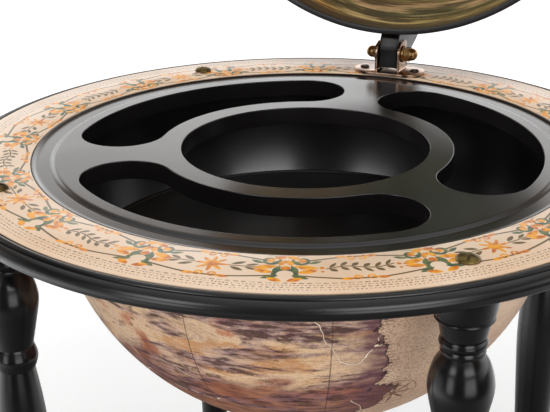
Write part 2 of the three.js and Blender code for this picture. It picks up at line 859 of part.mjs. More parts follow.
// Hub and finial
const hubTop = stretcherHeight + hubHeight / 2;
const hubOutline = shareOutline(hubOutlineShares, hubRadius, hubTop, hubHeight);
const hubBody = turned([[0, hubTop], ...hubOutline, [0, hubTop - hubHeight]], 2 * turnedFacets);
const hubMortises = corners.map(([, degrees]) =>
  alongRadius(rod(tenonCut, tenonHoleRoot, hubRadius + overrun, stemFacets)).rotateZ(radians(degrees)),
);
const dowelHole = rod(
  finialDowelRadius + seatGap,
  hubTop - finialDowelLength - seatGap,
  hubTop + overrun,
  stemFacets,
);
globeBar.add(named("stretcher_hub", cut(hubBody, dowelHole, ...hubMortises), blackLacquer));

const finialBottom = hubTop + seatGap;
const finialTop = finialBottom + finialHeight;
const finial = turned(
  [
    [0, finialTop],
    ...shareOutline(finialOutlineShares, finialRadius, finialTop, finialHeight),
    [finialDowelRadius, finialBottom],
    [finialDowelRadius, hubTop - finialDowelLength],
    [0, hubTop - finialDowelLength],
  ],
  turnedFacets,
);
globeBar.add(named("finial", finial, blackLacquer));

// Casters, all trailing to the back
for (const [corner, degrees] of corners) {
  const caster = new THREE.Group();
  caster.position.set(
    screwCircleRadius * Math.sin(radians(degrees)),
    -screwCircleRadius * Math.cos(radians(degrees)),
    0,
  );
  const stem = turned(
    [
      [0, legBottom + stemLength - seatGap],
      [stemRadius, legBottom + stemLength - seatGap],
      [stemRadius, stemFlangeTop],
      [stemFlangeRadius, stemFlangeTop],
      [stemFlangeRadius, stemFlangeBottom],
      [stemPinRadius, stemFlangeBottom],
      [stemPinRadius, stemHeadTop],
      [stemHeadRadius, stemHeadTop],
      [stemHeadRadius, stemHeadTop - stemHeadThickness],
      [0, stemHeadTop - stemHeadThickness],
    ],
    stemFacets,
  );
  caster.add(named(`caster_stem_${corner}`, stem, agedBrass));

  const cheek = new THREE.Shape();
  cheek.moveTo(-forkFront, forkTop);
  cheek.lineTo(-forkFront, forkTop - forkSheet);
  cheek.absarc(trail, wheelAxisHeight, forkEndRadius, Math.PI, 2 * Math.PI, false);
  cheek.lineTo(trail + forkEndRadius, forkTop);
  const crown = new THREE.Shape();
  crown.moveTo(-forkOuter, -forkFront);
  crown.lineTo(forkOuter, -forkFront);
  crown.lineTo(forkOuter, trail + forkEndRadius);
  crown.lineTo(-forkOuter, trail + forkEndRadius);
  const axleHole = turnedAlongX(
    [
      [0, -forkOuter - overrun],
      [axleRadius + seatGap, -forkOuter - overrun],
      [axleRadius + seatGap, forkOuter + overrun],
      [0, forkOuter + overrun],
    ],
    stemFacets,
  ).translate(0, trail, wheelAxisHeight);
  const fork = cut(
    join(
      plate(crown, forkSheet, forkTop - forkSheet, 1),
      sidePlate(cheek, forkSheet, -forkOuter, filletSteps),
      sidePlate(cheek, forkSheet, forkInner, filletSteps),
    ),
    rod(stemPinRadius + seatGap, forkTop - 2 * forkSheet, forkTop + overrun, stemFacets),
    axleHole,
  );
  caster.add(named(`caster_fork_${corner}`, fork, agedBrass));

  const axleSeat = forkOuter + seatGap;
  const axle = turnedAlongX(
    [
      [0, -axleSeat - axleHeadLength],
      [axleHeadRadius, -axleSeat - axleHeadLength],
      [axleHeadRadius, -axleSeat],
      [axleRadius, -axleSeat],
      [axleRadius, axleSeat],
      [axleHeadRadius, axleSeat],
      [axleHeadRadius, axleSeat + axleHeadLength],
      [0, axleSeat + axleHeadLength],
    ],
    stemFacets,
  );
  const axleMesh = named(`caster_axle_${corner}`, axle, agedBrass);
  axleMesh.position.set(0, trail, wheelAxisHeight);
  caster.add(axleMesh);

  const half = wheelWidth / 2;
  const face = half - wheelDish;
  const wheelOutline = [
    [axleRadius + seatGap, -half],
    [wheelBossRadius, -half],
    [wheelBossRadius + wheelDish, -face],
    [wheelRadius - wheelShoulder, -face],
    [wheelRadius, -wheelTreadWidth / 2],
    [wheelRadius, wheelTreadWidth / 2],
    [wheelRadius - wheelShoulder, face],
    [wheelBossRadius + wheelDish, face],
    [wheelBossRadius, half],
    [axleRadius + seatGap, half],
  ];
  const wheel = turnedAlongX([...wheelOutline, wheelOutline[0]], wheelFacets, Math.PI / wheelFacets);
  const wheelMesh = named(`caster_wheel_${corner}`, wheel, blackRubber);
  wheelMesh.position.set(0, trail, wheelAxisHeight);
  caster.add(wheelMesh);
  globeBar.add(caster);
}

// The origin moves from under the ring's centre to under the middle of the whole depth, open lid included
const extent = new THREE.Box3().setFromObject(globeBar, true);
globeBar.position.y = -(extent.min.y + extent.max.y) / 2;

export default globeBar;
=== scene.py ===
# %% [markdown]
# A floor globe bar: the lower half of a globe hangs in a black board on four turned legs, a black tray
# with openings for bottles lies in the board, and the upper half of the globe is a lid, open at the back.
# The construction is loaded first as a fixed frame. Every piece made here takes its place from it.
# Sizes below are in millimetres, as on a workshop drawing, and one factor turns them into metres.

# %% The frame
import json
import math

import bmesh
import bpy
from mathutils import Matrix, Vector


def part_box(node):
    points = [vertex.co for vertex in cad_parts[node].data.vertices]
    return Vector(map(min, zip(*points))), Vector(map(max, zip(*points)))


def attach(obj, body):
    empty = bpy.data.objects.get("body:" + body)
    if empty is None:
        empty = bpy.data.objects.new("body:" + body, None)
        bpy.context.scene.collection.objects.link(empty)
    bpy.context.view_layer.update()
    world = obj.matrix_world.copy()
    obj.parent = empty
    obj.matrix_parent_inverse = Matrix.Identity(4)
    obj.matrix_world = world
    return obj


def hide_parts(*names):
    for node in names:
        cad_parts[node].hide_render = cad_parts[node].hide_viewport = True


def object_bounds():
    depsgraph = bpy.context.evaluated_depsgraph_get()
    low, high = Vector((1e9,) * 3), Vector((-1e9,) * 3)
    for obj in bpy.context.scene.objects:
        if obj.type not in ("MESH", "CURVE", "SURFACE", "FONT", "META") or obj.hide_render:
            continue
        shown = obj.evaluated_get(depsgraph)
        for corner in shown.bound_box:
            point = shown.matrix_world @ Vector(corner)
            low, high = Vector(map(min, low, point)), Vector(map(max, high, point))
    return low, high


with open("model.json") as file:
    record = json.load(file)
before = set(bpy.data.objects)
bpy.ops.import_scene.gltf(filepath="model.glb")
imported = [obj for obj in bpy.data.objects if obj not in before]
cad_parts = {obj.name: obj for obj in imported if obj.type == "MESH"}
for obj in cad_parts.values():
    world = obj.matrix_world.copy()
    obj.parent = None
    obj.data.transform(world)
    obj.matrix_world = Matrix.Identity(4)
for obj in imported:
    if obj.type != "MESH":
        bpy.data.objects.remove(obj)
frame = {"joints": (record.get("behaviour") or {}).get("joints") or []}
cad_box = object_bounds()
MM = 0.001
CORNERS = ("front_right", "back_right", "back_left", "front_left")
for word, corner in zip(("from", "to"), cad_box):
    print("The frame reaches", word, [round(v, 4) for v in corner])

# %% [markdown]
# The camera stands where the photograph was taken: in front, a little to the right and above the board,
# looking down at about 22 degrees through a long lens. Its place was found by laying the board's circles
# and the tray's openings over those in the picture.

# %% Camera
camera_place = Vector((0.24235, -0.70222, 0.99852))
look = Vector((-0.35261, 0.85790, -0.37373)).normalized()
camera_roll = -0.0102774
lens_mm = 74.14
level_right = look.cross(Vector((0, 0, 1))).normalized()
level_up = level_right.cross(look)
right = level_right * math.cos(camera_roll) + level_up * math.sin(camera_roll)
up = right.cross(look)
camera = bpy.data.objects.new("camera", bpy.data.cameras.new("camera"))
bpy.context.scene.collection.objects.link(camera)
camera.data.lens = lens_mm
camera.data.sensor_width = 36
camera.matrix_world = Matrix.Translation(camera_place) @ Matrix((right, up, -look)).transposed().to_4x4()
bpy.context.scene.camera = camera
bpy.context.scene.view_settings.view_transform = "Standard"
print("Camera at", [round(v, 3) for v in camera_place], "with a lens of", lens_mm, "mm")

# %% [markdown]
# Places that many pieces share: the board's axis, the hinge and the lid's centre. They come from the
# frame, so they agree with the construction. The lid is drawn open, and lid_turn tells how far. The
# globe's two halves have a centre and an outer radius each, which their maps share.

# %% Places
ring_low, ring_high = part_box("horizon_ring")
ring_axis = Vector((0, (ring_low.y + ring_high.y) / 2, 0))
ring_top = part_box("ring_band")[1].z / MM
joints = {joint["name"]: joint for joint in frame["joints"]}
hinge = Vector(joints["lid_hinge"]["pos_m"])
lid_turn = math.radians(joints["lid_hinge"]["range_deg"][1])
hinge_radius = 187
lid_below_hinge = 13.3
globe_height = 748
bowl_radius, lid_radius = 161, 168
bowl_centre = ring_axis + Vector((0, 0, globe_height)) * MM
lid_open = Matrix.Translation(hinge) @ Matrix.Rotation(-lid_turn, 4, "X")
lid_place = lid_open @ Matrix.Translation(Vector((0, -hinge_radius, -lid_below_hinge)) * MM)
ring_place = Matrix.Translation(ring_axis)
hinge_place = Matrix.Translation(hinge)
lid_centre = [round(v / MM, 1) for v in lid_place.translation]
print("The board's top is", round(ring_top, 2), "mm high, the lid's centre is at", lid_centre)


# %% [markdown]
# A few helpers stand for what a modeller does by hand. draw_line starts from a small plane that is
# merged to one corner and extruded from point to point. turn spins such a line, as a lathe does.
# modify adds a modifier and applies it. settle moves a piece to its place and leaves its object at
# the origin, hands it to its body and its finish, and prints what was made.

# %% Modelling helpers
WELD = 0.002 * MM


def arc(centre, radius, start, end, steps):
    """Points on an arc, with angles in degrees."""
    angles = [math.radians(start + (end - start) * i / steps) for i in range(steps + 1)]
    return [(centre[0] + radius * math.cos(a), centre[1] + radius * math.sin(a)) for a in angles]


def smooth_line(points, steps):
    """Points on a smooth curve that passes through the given ones."""
    ends = [points[0], *points, points[-1]]
    line = []
    for p, q, r, s in zip(ends, ends[1:], ends[2:], ends[3:]):
        for i in range(steps):
            t = i / steps
            line.append(tuple(
                q[k] + t * (r[k] - p[k]) / 2
                + t * t * (p[k] - 2.5 * q[k] + 2 * r[k] - s[k] / 2)
                + t * t * t * (1.5 * (q[k] - r[k]) + (s[k] - p[k]) / 2)
                for k in (0, 1)
            ))
    return line + [points[-1]]


def rounded(points, cut, steps=4):
    """Rounds the corners of a line: each is cut off at a distance and a curve takes its place."""
    line = [points[0]]
    for before, corner, after in zip(points, points[1:], points[2:]):
        middle = Vector(corner)
        start = middle + (Vector(before) - middle).normalized() * cut
        end = middle + (Vector(after) - middle).normalized() * cut
        for i in range(steps + 1):
            share = i / steps
            line.append(tuple(start.lerp(middle, share).lerp(middle.lerp(end, share), share)))
    return line + [points[-1]]


def draw_line(name, points):
    """A line through points in millimetres, left in edit mode with its last corner selected."""
    bpy.ops.object.select_all(action="DESELECT")
    bpy.ops.mesh.primitive_plane_add(size=MM)
    piece = bpy.context.object
    piece.name = name
    bpy.ops.object.mode_set(mode="EDIT")
    bpy.ops.mesh.select_mode(type="VERT")
    bpy.ops.mesh.merge(type="CENTER")
    bpy.ops.transform.translate(value=Vector(points[0]) * MM)
    for here, there in zip(points, points[1:]):
        step = (Vector(there) - Vector(here)) * MM
        bpy.ops.mesh.extrude_vertices_move(TRANSFORM_OT_translate={"value": step})
    return piece


def pick(piece):
    """Selects one piece and nothing else, and makes it the active one."""
    bpy.ops.object.select_all(action="DESELECT")
    piece.select_set(True)
    bpy.context.view_layer.objects.active = piece


def clean_surface():
    """Merges doubled corners and turns all faces outwards, then leaves edit mode."""
    bpy.ops.mesh.select_all(action="SELECT")
    bpy.ops.mesh.remove_doubles(threshold=WELD)
    bpy.ops.mesh.normals_make_consistent(inside=False)
    bpy.ops.object.mode_set(mode="OBJECT")


def turn(name, outline, steps=96, axis="Z"):
    """Spins an outline of (radius, height) points round an axis through the origin."""
    points = [(r, 0, h) if axis == "Z" else (h, 0, r) for r, h in outline]
    piece = draw_line(name, points)
    bpy.ops.mesh.select_all(action="SELECT")
    spin_axis = (0, 0, 1) if axis == "Z" else (1, 0, 0)
    bpy.ops.mesh.spin(steps=steps, angle=2 * math.pi, center=(0, 0, 0), axis=spin_axis)
    clean_surface()
    return piece


def slab(name, outline, depth):
    """Fills an outline of 3D points and extrudes it by a vector, all in millimetres."""
    piece = draw_line(name, [*outline, outline[0]])
    bpy.ops.mesh.select_all(action="SELECT")
    bpy.ops.mesh.remove_doubles(threshold=WELD)
    bpy.ops.mesh.edge_face_add()
    bpy.ops.mesh.extrude_region_move(TRANSFORM_OT_translate={"value": Vector(depth) * MM})
    clean_surface()
    return piece


def select_where(piece, part, test):
    """In edit mode, selects the faces or edges whose middle, in millimetres, passes a test."""
    bpy.ops.mesh.select_mode(type=part)
    bpy.ops.mesh.select_all(action="DESELECT")
    shape = bmesh.from_edit_mesh(piece.data)
    for element in shape.faces if part == "FACE" else shape.edges:
        corners = element.verts
        middle = sum((v.co for v in corners), Vector()) / len(corners) / MM
        element.select_set(test(middle, element))
    shape.select_flush_mode()
    bmesh.update_edit_mesh(piece.data)


def modify(piece, kind, **settings):
    """Adds a modifier with its settings and applies it."""
    modifier = piece.modifiers.new(kind, kind)
    for key, value in settings.items():
        setattr(modifier, key, value)
    bpy.context.view_layer.objects.active = piece
    bpy.ops.object.modifier_apply(modifier=modifier.name)
    return piece


def soften(piece, width, segments=2, angle=35):
    """Rounds the edges that are sharper than an angle."""
    return modify(piece, "BEVEL", width=width * MM, segments=segments, limit_method="ANGLE",
                  angle_limit=math.radians(angle))


def combine(piece, tool, operation):
    """Joins a tool to a piece, or cuts it away, and throws the tool away."""
    modify(piece, "BOOLEAN", object=tool, operation=operation, solver="EXACT")
    bpy.data.objects.remove(tool)
    return piece


def shade(piece, angle=32):
    """Shades a piece smooth and keeps the edges that are sharper than an angle."""
    pick(piece)
    bpy.ops.object.shade_smooth_by_angle(angle=math.radians(angle))
    return piece


def settle(piece, place, body, material, slot, *nodes):
    """Puts a piece in its place, keeps its object at the origin, and hands it to body and finish."""
    piece.matrix_world = place
    pick(piece)
    bpy.ops.object.transform_apply(location=True, rotation=True, scale=True)
    piece.data.materials.clear()
    piece.data.materials.append(material)
    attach(piece, body)
    if nodes:
        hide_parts(*nodes)
    size = [round(v / MM, 1) for v in piece.dimensions]
    print(piece.name, "is", size, "mm, with", len(piece.data.polygons), "faces")
    return piece


def copy_of(piece, name):
    """A copy that has its own mesh."""
    twin = piece.copy()
    twin.data = piece.data.copy()
    twin.name = name
    bpy.context.scene.collection.objects.link(twin)
    return twin


# %% [markdown]
# One small function adds a shader node with its settings, its values and its links, and returns the
# output that the next node needs. Colours are written as they look on a screen, as hex values, and
# one function turns them to the linear values that the renderer works with.

# %% Material helpers
def linear(colour):
    """The linear colour of an sRGB hex value."""
    channels = [int(colour[i:i + 2], 16) / 255 for i in (1, 3, 5)]
    shares = [c / 12.92 if c <= 0.04045 else ((c + 0.055) / 1.055) ** 2.4 for c in channels]
    return (*shares, 1)


def add(tree, kind, *values, out=0, stops=(), into=None, **named):
    """Adds a node and returns one of its outputs. A second word in its kind is its operation. Values go
    into its sockets in order, a name with a capital is a socket's, and any other is a setting's."""
    kind, _, operation = kind.partition(" ")
    node = tree.nodes.new("ShaderNode" + kind)
    if operation:
        node.operation = operation
    sockets = dict(enumerate(values)) | (into or {})
    for name, value in named.items():
        if name[0].isupper():
            sockets[name.replace("_", " ")] = value
        else:
            setattr(node, name, value)
    for i, (position, colour) in enumerate(stops):
        element = node.color_ramp.elements[i] if i < 2 else node.color_ramp.elements.new(position)
        element.position = position
        element.color = linear(colour)
    for name, value in sockets.items():
        if isinstance(value, bpy.types.NodeSocket):
            tree.links.new(value, node.inputs[name])
        else:
            node.inputs[name].default_value = value
    return node.outputs[out]


def start_material(name, **surface):
    """A material with values set on the shader's own sockets. Returns it, its nodes and the shader."""
    material = bpy.data.materials.new(name)
    material.use_nodes = True
    shader = material.node_tree.nodes["Principled BSDF"]
    for socket, value in surface.items():
        shader.inputs[socket.replace("_", " ")].default_value = value
    return material, material.node_tree, shader


def millimetres(tree, origin=(0, 0, 0), turned=(0, 0, 0)):
    """Object coordinates in millimetres, counted from a place on the piece."""
    place = add(tree, "TexCoord", out="Object")
    return add(tree, "Mapping", place, Location=origin, Rotation=turned, Scale=(MM, MM, MM),
               vector_type="TEXTURE")


def connect(tree, shader, **links):
    """Links outputs to the shader's sockets."""
    for socket, output in links.items():
        tree.links.new(output, shader.inputs[socket.replace("_", " ")])


def roughen(tree, shader, place, grain_mm, depth_mm, low, high, patch_mm):
    """A fine bump of a given grain and depth, and patches whose roughness runs from low to high."""
    grain = add(tree, "TexNoise", Vector=place, Scale=1 / grain_mm, Detail=3)
    bump = add(tree, "Bump", Height=grain, Distance=depth_mm * MM, Strength=1)
    patch = add(tree, "TexNoise", Vector=place, Scale=1 / patch_mm, Detail=4)
    rough = add(tree, "MapRange", patch, 0.35, 0.65, low, high)
    connect(tree, shader, Normal=bump, Roughness=rough)


# %% [markdown]
# Black lacquer on wood. The board and the legs are turned from beech or rubberwood, filled and sprayed
# black. The legs are glossier and mirror the lamps as soft squares. The board is satin under a thicker
# clear coat, and its edge shows one broad highlight. Both have a trace of orange peel and duller patches
# where hands have been.

# %% Black lacquer
def black_lacquer(name, low, high, coat):
    material, tree, shader = start_material(name, IOR=1.5, Coat_Weight=coat, Coat_Roughness=low)
    place = millimetres(tree)
    cloud = add(tree, "TexNoise", Vector=place, Scale=1 / 70, Detail=5)
    tone = add(tree, "ValToRGB", Fac=cloud, stops=((0.3, "#060506"), (0.7, "#0D0C0C")))
    connect(tree, shader, Base_Color=tone)
    roughen(tree, shader, place, grain_mm=2.5, depth_mm=0.01, low=low, high=high, patch_mm=45)
    return material


# %% [markdown]
# Moulded black plastic. The tray, the bowl's lining, the bottle floor and the lid's edge are ABS or
# polystyrene with a satin skin from the mould. Seen low, the deck mirrors the room like dark water, so
# its roughness stays small, with a grain under a hundredth of a millimetre deep. The bowl's lining is
# the shiniest, and its wall throws the front lamps back as two soft glows. The hinge arm's enamel is
# made the same way.

# %% Black plastic
def black_plastic(name, colour, dusty, low, high, coat, ior=1.56):
    material, tree, shader = start_material(name, IOR=ior, Coat_Weight=coat, Coat_Roughness=0.2)
    place = millimetres(tree)
    cloud = add(tree, "TexNoise", Vector=place, Scale=1 / 90, Detail=5)
    tone = add(tree, "ValToRGB", Fac=cloud, stops=((0.3, colour), (0.75, dusty)))
    connect(tree, shader, Base_Color=tone)
    roughen(tree, shader, place, grain_mm=0.9, depth_mm=0.006, low=low, high=high, patch_mm=60)
    return material


# %% [markdown]
# Antique brass and bronzed steel. The screws, the bolt and the casters are brass, dipped dark and
# rubbed bright where it stands out. The bracket is pressed from sheet steel and plated with a rosy
# bronze that mirrors what is in front of it, with faint drawing marks along the sheet. The small hinge
# screws and the rivets are blackened steel.

# %% Metals
def worn_metal(name, bright, dark, low, high, blotch_mm, streak=(1, 1, 1)):
    material, tree, shader = start_material(name, Metallic=1)
    place = millimetres(tree)
    stretched = add(tree, "Mapping", Vector=place, Scale=streak)
    blotch = add(tree, "TexNoise", Vector=stretched, Scale=1 / blotch_mm, Detail=6)
    tone = add(tree, "ValToRGB", Fac=blotch, stops=((0.36, dark), (0.56, bright)))
    connect(tree, shader, Base_Color=tone)
    roughen(tree, shader, stretched, grain_mm=0.7, depth_mm=0.01, low=low, high=high, patch_mm=6)
    return material


# %% [markdown]
# Black rubber. The casters' tyres are moulded from it. It is matt, greyer than the lacquer, and holds
# dust from the floor in patches.

# %% Black rubber
def black_rubber():
    material, tree, shader = start_material("moulded_black_rubber", IOR=1.52)
    place = millimetres(tree)
    dust = add(tree, "TexNoise", Vector=place, Scale=1 / 8, Detail=6)
    tone = add(tree, "ValToRGB", Fac=dust, stops=((0.4, "#161617"), (0.75, "#3A3735")))
    connect(tree, shader, Base_Color=tone)
    roughen(tree, shader, place, grain_mm=0.6, depth_mm=0.03, low=0.55, high=0.75, patch_mm=8)
    return material


# %% [markdown]
# The printed band. A paper ring with gold and green scrollwork is pasted on the board and varnished.
# Leaves, scrolls and strokes are masks of 0 and 1: a few maths nodes each, crisp at any distance. So the
# print needs no picture, and each of its parts can be moved by one number.

# %% Parts of the print
def local(tree, place, x, y, degrees=0, length=1, width=1):
    """The place seen from a spot of the print, turned and measured in half lengths and half widths."""
    return add(tree, "Mapping", place, Location=(x, y, 0), Rotation=(0, 0, math.radians(degrees)),
               Scale=(length / 2, width / 2, 1), vector_type="TEXTURE")


def leaf(tree, place, x, y, degrees, length, width):
    """A pointed leaf: the share across it plus the square of the share along it stays under one."""
    across = add(tree, "SeparateXYZ", local(tree, place, x, y, degrees, length, width))
    along = across.node.outputs["X"]
    side = add(tree, "Math ABSOLUTE", across.node.outputs["Y"])
    return add(tree, "Math LESS_THAN", add(tree, "Math MULTIPLY_ADD", along, along, side), 1)


def dot(tree, place, x, y, width):
    spot = local(tree, place, x, y, 0, width, width)
    far = add(tree, "VectorMath LENGTH", spot, out="Value")
    return add(tree, "Math LESS_THAN", far, 1)


def bow(tree, place, x, y, degrees, radius, stroke, reach=0.0):
    """A stroke along a circle, on the side that the angle points to."""
    spot = local(tree, place, x, y, degrees, 2, 2)
    far = add(tree, "VectorMath LENGTH", spot, out="Value")
    line = add(tree, "Math COMPARE", far, radius, stroke / 2)
    side = add(tree, "SeparateXYZ", spot).node.outputs["X"]
    return add(tree, "Math MULTIPLY", line, add(tree, "Math GREATER_THAN", side, reach))


def scroll(tree, place, x, y, degrees, radius, pitch, stroke, hand):
    """A spiral that winds in from its radius, to the left or to the right."""
    spot = local(tree, place, x, y, degrees, 2, 2 * hand)
    far = add(tree, "VectorMath LENGTH", spot, out="Value")
    axes = add(tree, "SeparateXYZ", spot).node.outputs
    angle = add(tree, "Math ARCTAN2", axes["Y"], axes["X"])
    rings = add(tree, "Math DIVIDE", far, pitch)
    winding = add(tree, "Math MULTIPLY_ADD", angle, -1 / (2 * math.pi), rings)
    line = add(tree, "Math LESS_THAN", add(tree, "Math PINGPONG", winding, 0.5), stroke / pitch / 2)
    return add(tree, "Math MULTIPLY", line, add(tree, "Math LESS_THAN", far, radius))


def any_of(tree, masks):
    """The largest of some masks or values."""
    whole = masks[0]
    for mask in masks[1:]:
        whole = add(tree, "Math MAXIMUM", whole, mask)
    return whole


def lay_over(tree, ground, colour, mask):
    """Lays a colour, from a node or as a hex value, over the ground where the mask is one."""
    colour = linear(colour) if isinstance(colour, str) else colour
    return add(tree, "Mix", into={0: mask, 6: ground, 7: colour}, out=2, data_type="RGBA")


# %% [markdown]
# Sixteen equal cells run round the band, so the pattern is drawn once, in millimetres along and across
# it, and the angle round the axis repeats it. The scrolls stand at the cells' borders, mirrored, and each
# cell holds a leafy sprig or a star. Four rows of small dashes run along the outer edge. The varnish
# gives the paper a thin, half glossy coat.

# %% Printed band
def printed_band():
    material, tree, shader = start_material("varnished_paper_with_scrollwork", IOR=1.48, Coat_Weight=0.5,
                                            Coat_Roughness=0.22)
    cells = 16
    middle_radius = 187
    first_border = math.radians(-4.7)
    cell_angle = 2 * math.pi / cells
    cell_length = cell_angle * middle_radius
    place = millimetres(tree, ring_axis)
    axes = add(tree, "SeparateXYZ", place).node.outputs
    flat = add(tree, "CombineXYZ", X=axes["X"], Y=axes["Y"])
    radius = add(tree, "VectorMath LENGTH", flat, out="Value")
    azimuth = add(tree, "Math ARCTAN2", axes["X"], add(tree, "Math MULTIPLY", axes["Y"], -1))
    count = add(tree, "Math DIVIDE", add(tree, "Math SUBTRACT", azimuth, first_border), cell_angle)
    fold = add(tree, "Math PINGPONG", count, 0.5)
    out = add(tree, "Math SUBTRACT", radius, middle_radius)
    border = add(tree, "CombineXYZ", X=add(tree, "Math MULTIPLY", fold, cell_length), Y=out)
    share = add(tree, "Math SUBTRACT", add(tree, "Math FRACT", count), 0.5)
    cell = add(tree, "CombineXYZ", X=add(tree, "Math MULTIPLY", share, cell_length), Y=out)
    fold_in = add(tree, "Math SUBTRACT", 0.5, fold)
    centre = add(tree, "CombineXYZ", X=add(tree, "Math MULTIPLY", fold_in, cell_length), Y=out)
    odd = add(tree, "Math GREATER_THAN", add(tree, "Math FRACT", add(tree, "Math MULTIPLY",
               add(tree, "Math FLOOR", count), 0.5)), 0.25)

    # Thin garlands swing from scroll to scroll along both edges of the ornament
    swing = add(tree, "Math SMOOTH_MIN", add(tree, "Math MULTIPLY", fold, 2.6), 1, 0.3)
    garlands = []
    for depth, start, gap in ((-6.4, -5.8, 12), (5, 7.6, 6)):
        garland = add(tree, "Math COMPARE", out, add(tree, "Math MULTIPLY_ADD", swing, depth, start), 0.68)
        clear = add(tree, "Math GREATER_THAN", fold, gap / cell_length)
        garlands.append(add(tree, "Math MULTIPLY", garland, clear))
    green = any_of(tree, [
        scroll(tree, border, 8.2, -8.4, 100, 5.6, 4.2, 2.1, 1),
        bow(tree, border, 2.4, -1.8, -130, 5.4, 2.1),
        bow(tree, border, 0, 7, -90, 5.2, 2.4, -1.4),
        leaf(tree, border, 7, 10.4, 24, 9, 3.4),
        leaf(tree, border, 14.8, -6.4, -24, 7.5, 2.8),
        leaf(tree, border, 4.4, 1.4, 66, 8.5, 3),
    ])
    orange = any_of(tree, [
        leaf(tree, border, 3.4, -11.8, 22, 8, 4),
        dot(tree, border, 8.2, -8.4, 4.2),
        leaf(tree, border, 10, -0.6, 14, 12.5, 4.6),
        leaf(tree, border, 10.6, 4.2, -14, 10.5, 4.2),
        leaf(tree, border, 4.6, 13.2, -28, 8, 4),
        dot(tree, border, 0, 0.2, 4.8),
        leaf(tree, border, 2, -5.6, 66, 7, 3.4),
        scroll(tree, centre, 3.6, -10.8, 200, 2.8, 2.3, 1.4, 1),
        scroll(tree, centre, 3.6, 11.2, 160, 2.6, 2.3, 1.3, -1),
        leaf(tree, centre, 8, -12.2, -6, 7, 2.8),
        leaf(tree, centre, 8, 12.6, 8, 7, 2.8),
    ])

    # A sprig: a wavy stem, a leaf on either side of it at each step, and berries at the tips
    cell_axes = add(tree, "SeparateXYZ", cell).node.outputs
    wave = add(tree, "Math SINE", add(tree, "Math DIVIDE", cell_axes["X"], 4.4))
    bend = add(tree, "Math SUBTRACT", cell_axes["Y"], add(tree, "Math MULTIPLY", wave, 1.5))
    inside = add(tree, "Math LESS_THAN", add(tree, "Math ABSOLUTE", cell_axes["X"]), 17)
    stem = add(tree, "Math MULTIPLY", add(tree, "Math COMPARE", bend, 0, 0.5), inside)
    step = add(tree, "Math MULTIPLY", add(tree, "Math SUBTRACT", add(tree, "Math FRACT",
                add(tree, "Math DIVIDE", cell_axes["X"], 5.6)), 0.5), 5.6)
    twig = add(tree, "CombineXYZ", X=step, Y=add(tree, "Math ABSOLUTE", bend))
    leaves = add(tree, "Math MULTIPLY", leaf(tree, twig, 0.5, 2.7, 48, 5.8, 2.5), inside)
    berries = add(tree, "Math MAXIMUM", dot(tree, centre, 19, 0, 2.6), dot(tree, centre, 19, 4.2, 1.8))
    sprig = add(tree, "Math MULTIPLY", add(tree, "Math MAXIMUM", stem, leaves), odd)
    fruit = add(tree, "Math MULTIPLY", berries, odd)

    # A star with eight rays between two small branches
    far = add(tree, "VectorMath LENGTH", cell, out="Value")
    turn_round = add(tree, "Math ARCTAN2", cell_axes["Y"], cell_axes["X"])
    ray = add(tree, "Math POWER", add(tree, "Math ABSOLUTE", add(tree, "Math COSINE",
               add(tree, "Math MULTIPLY", turn_round, 4))), 3)
    star = add(tree, "Math LESS_THAN", far, add(tree, "Math MULTIPLY_ADD", ray, 5, 3.6))
    even = add(tree, "Math SUBTRACT", 1, odd)
    branches = any_of(tree, [
        leaf(tree, centre, 13, 3.2, 28, 8, 2.8),
        leaf(tree, centre, 13, -3.2, -28, 8, 2.8),
        leaf(tree, centre, 20, 2.2, 20, 7, 2.2),
        leaf(tree, centre, 20, -2.2, -20, 7, 2.2),
        add(tree, "Math MULTIPLY", add(tree, "Math COMPARE", cell_axes["Y"], 0, 0.45),
            add(tree, "Math COMPARE", add(tree, "Math ABSOLUTE", cell_axes["X"]), 16, 7.5)),
    ])
    brown = any_of(tree, [*garlands, sprig, add(tree, "Math MULTIPLY", branches, even)])
    orange = any_of(tree, [orange, fruit, add(tree, "Math MULTIPLY", star, even)])

    # Four rows of small dashes along the outer edge, worn away here and there
    def dashes(at, spacing, length, height, shift):
        along = add(tree, "Math MULTIPLY_ADD", azimuth, middle_radius / spacing, shift)
        mark = add(tree, "Math LESS_THAN", add(tree, "Math FRACT", along), length / spacing)
        return add(tree, "Math MULTIPLY", mark, add(tree, "Math COMPARE", radius, at, height / 2))

    ticks = any_of(tree, [
        dashes(204, 3.6, 2.4, 1, 0),
        dashes(206.3, 1.7, 0.9, 1, 0.3),
        dashes(208.6, 2.9, 1.7, 1, 0.5),
        dashes(211, 1.9, 0.8, 0.9, 0.2),
    ])
    wear = add(tree, "TexNoise", Vector=place, Scale=1 / 1.4, Detail=2)
    ticks = add(tree, "Math MULTIPLY", ticks, add(tree, "MapRange", wear, 0.38, 0.58, 0.2, 0.9))

    # Paper, a little darker and pinker in patches, with printer's colour that is never quite even
    cloud = add(tree, "TexNoise", Vector=place, Scale=1 / 55, Detail=6)
    paper = add(tree, "ValToRGB", Fac=cloud, stops=((0.32, "#E2C1A1"), (0.66, "#EBD1B7")))
    fibre = add(tree, "TexNoise", Vector=place, Scale=1 / 1.6, Detail=4)
    speck = add(tree, "MapRange", fibre, 0.62, 0.75, 0, 0.3)
    paper = lay_over(tree, paper, "#C29B78", speck)
    patch = add(tree, "TexNoise", Vector=place, Scale=1 / 4, Detail=3)
    gold = add(tree, "ValToRGB", Fac=patch, stops=((0.36, "#C4682A"), (0.56, "#F2A526")))
    moss = add(tree, "ValToRGB", Fac=patch, stops=((0.38, "#2F5240"), (0.62, "#6E7446")))
    colour = lay_over(tree, paper, "#6E5237", ticks)
    colour = lay_over(tree, colour, "#6A5430", brown)
    colour = lay_over(tree, colour, moss, green)
    colour = lay_over(tree, colour, gold, orange)
    connect(tree, shader, Base_Color=colour)
    roughen(tree, shader, place, grain_mm=0.8, depth_mm=0.008, low=0.38, high=0.5, patch_mm=30)
    return material


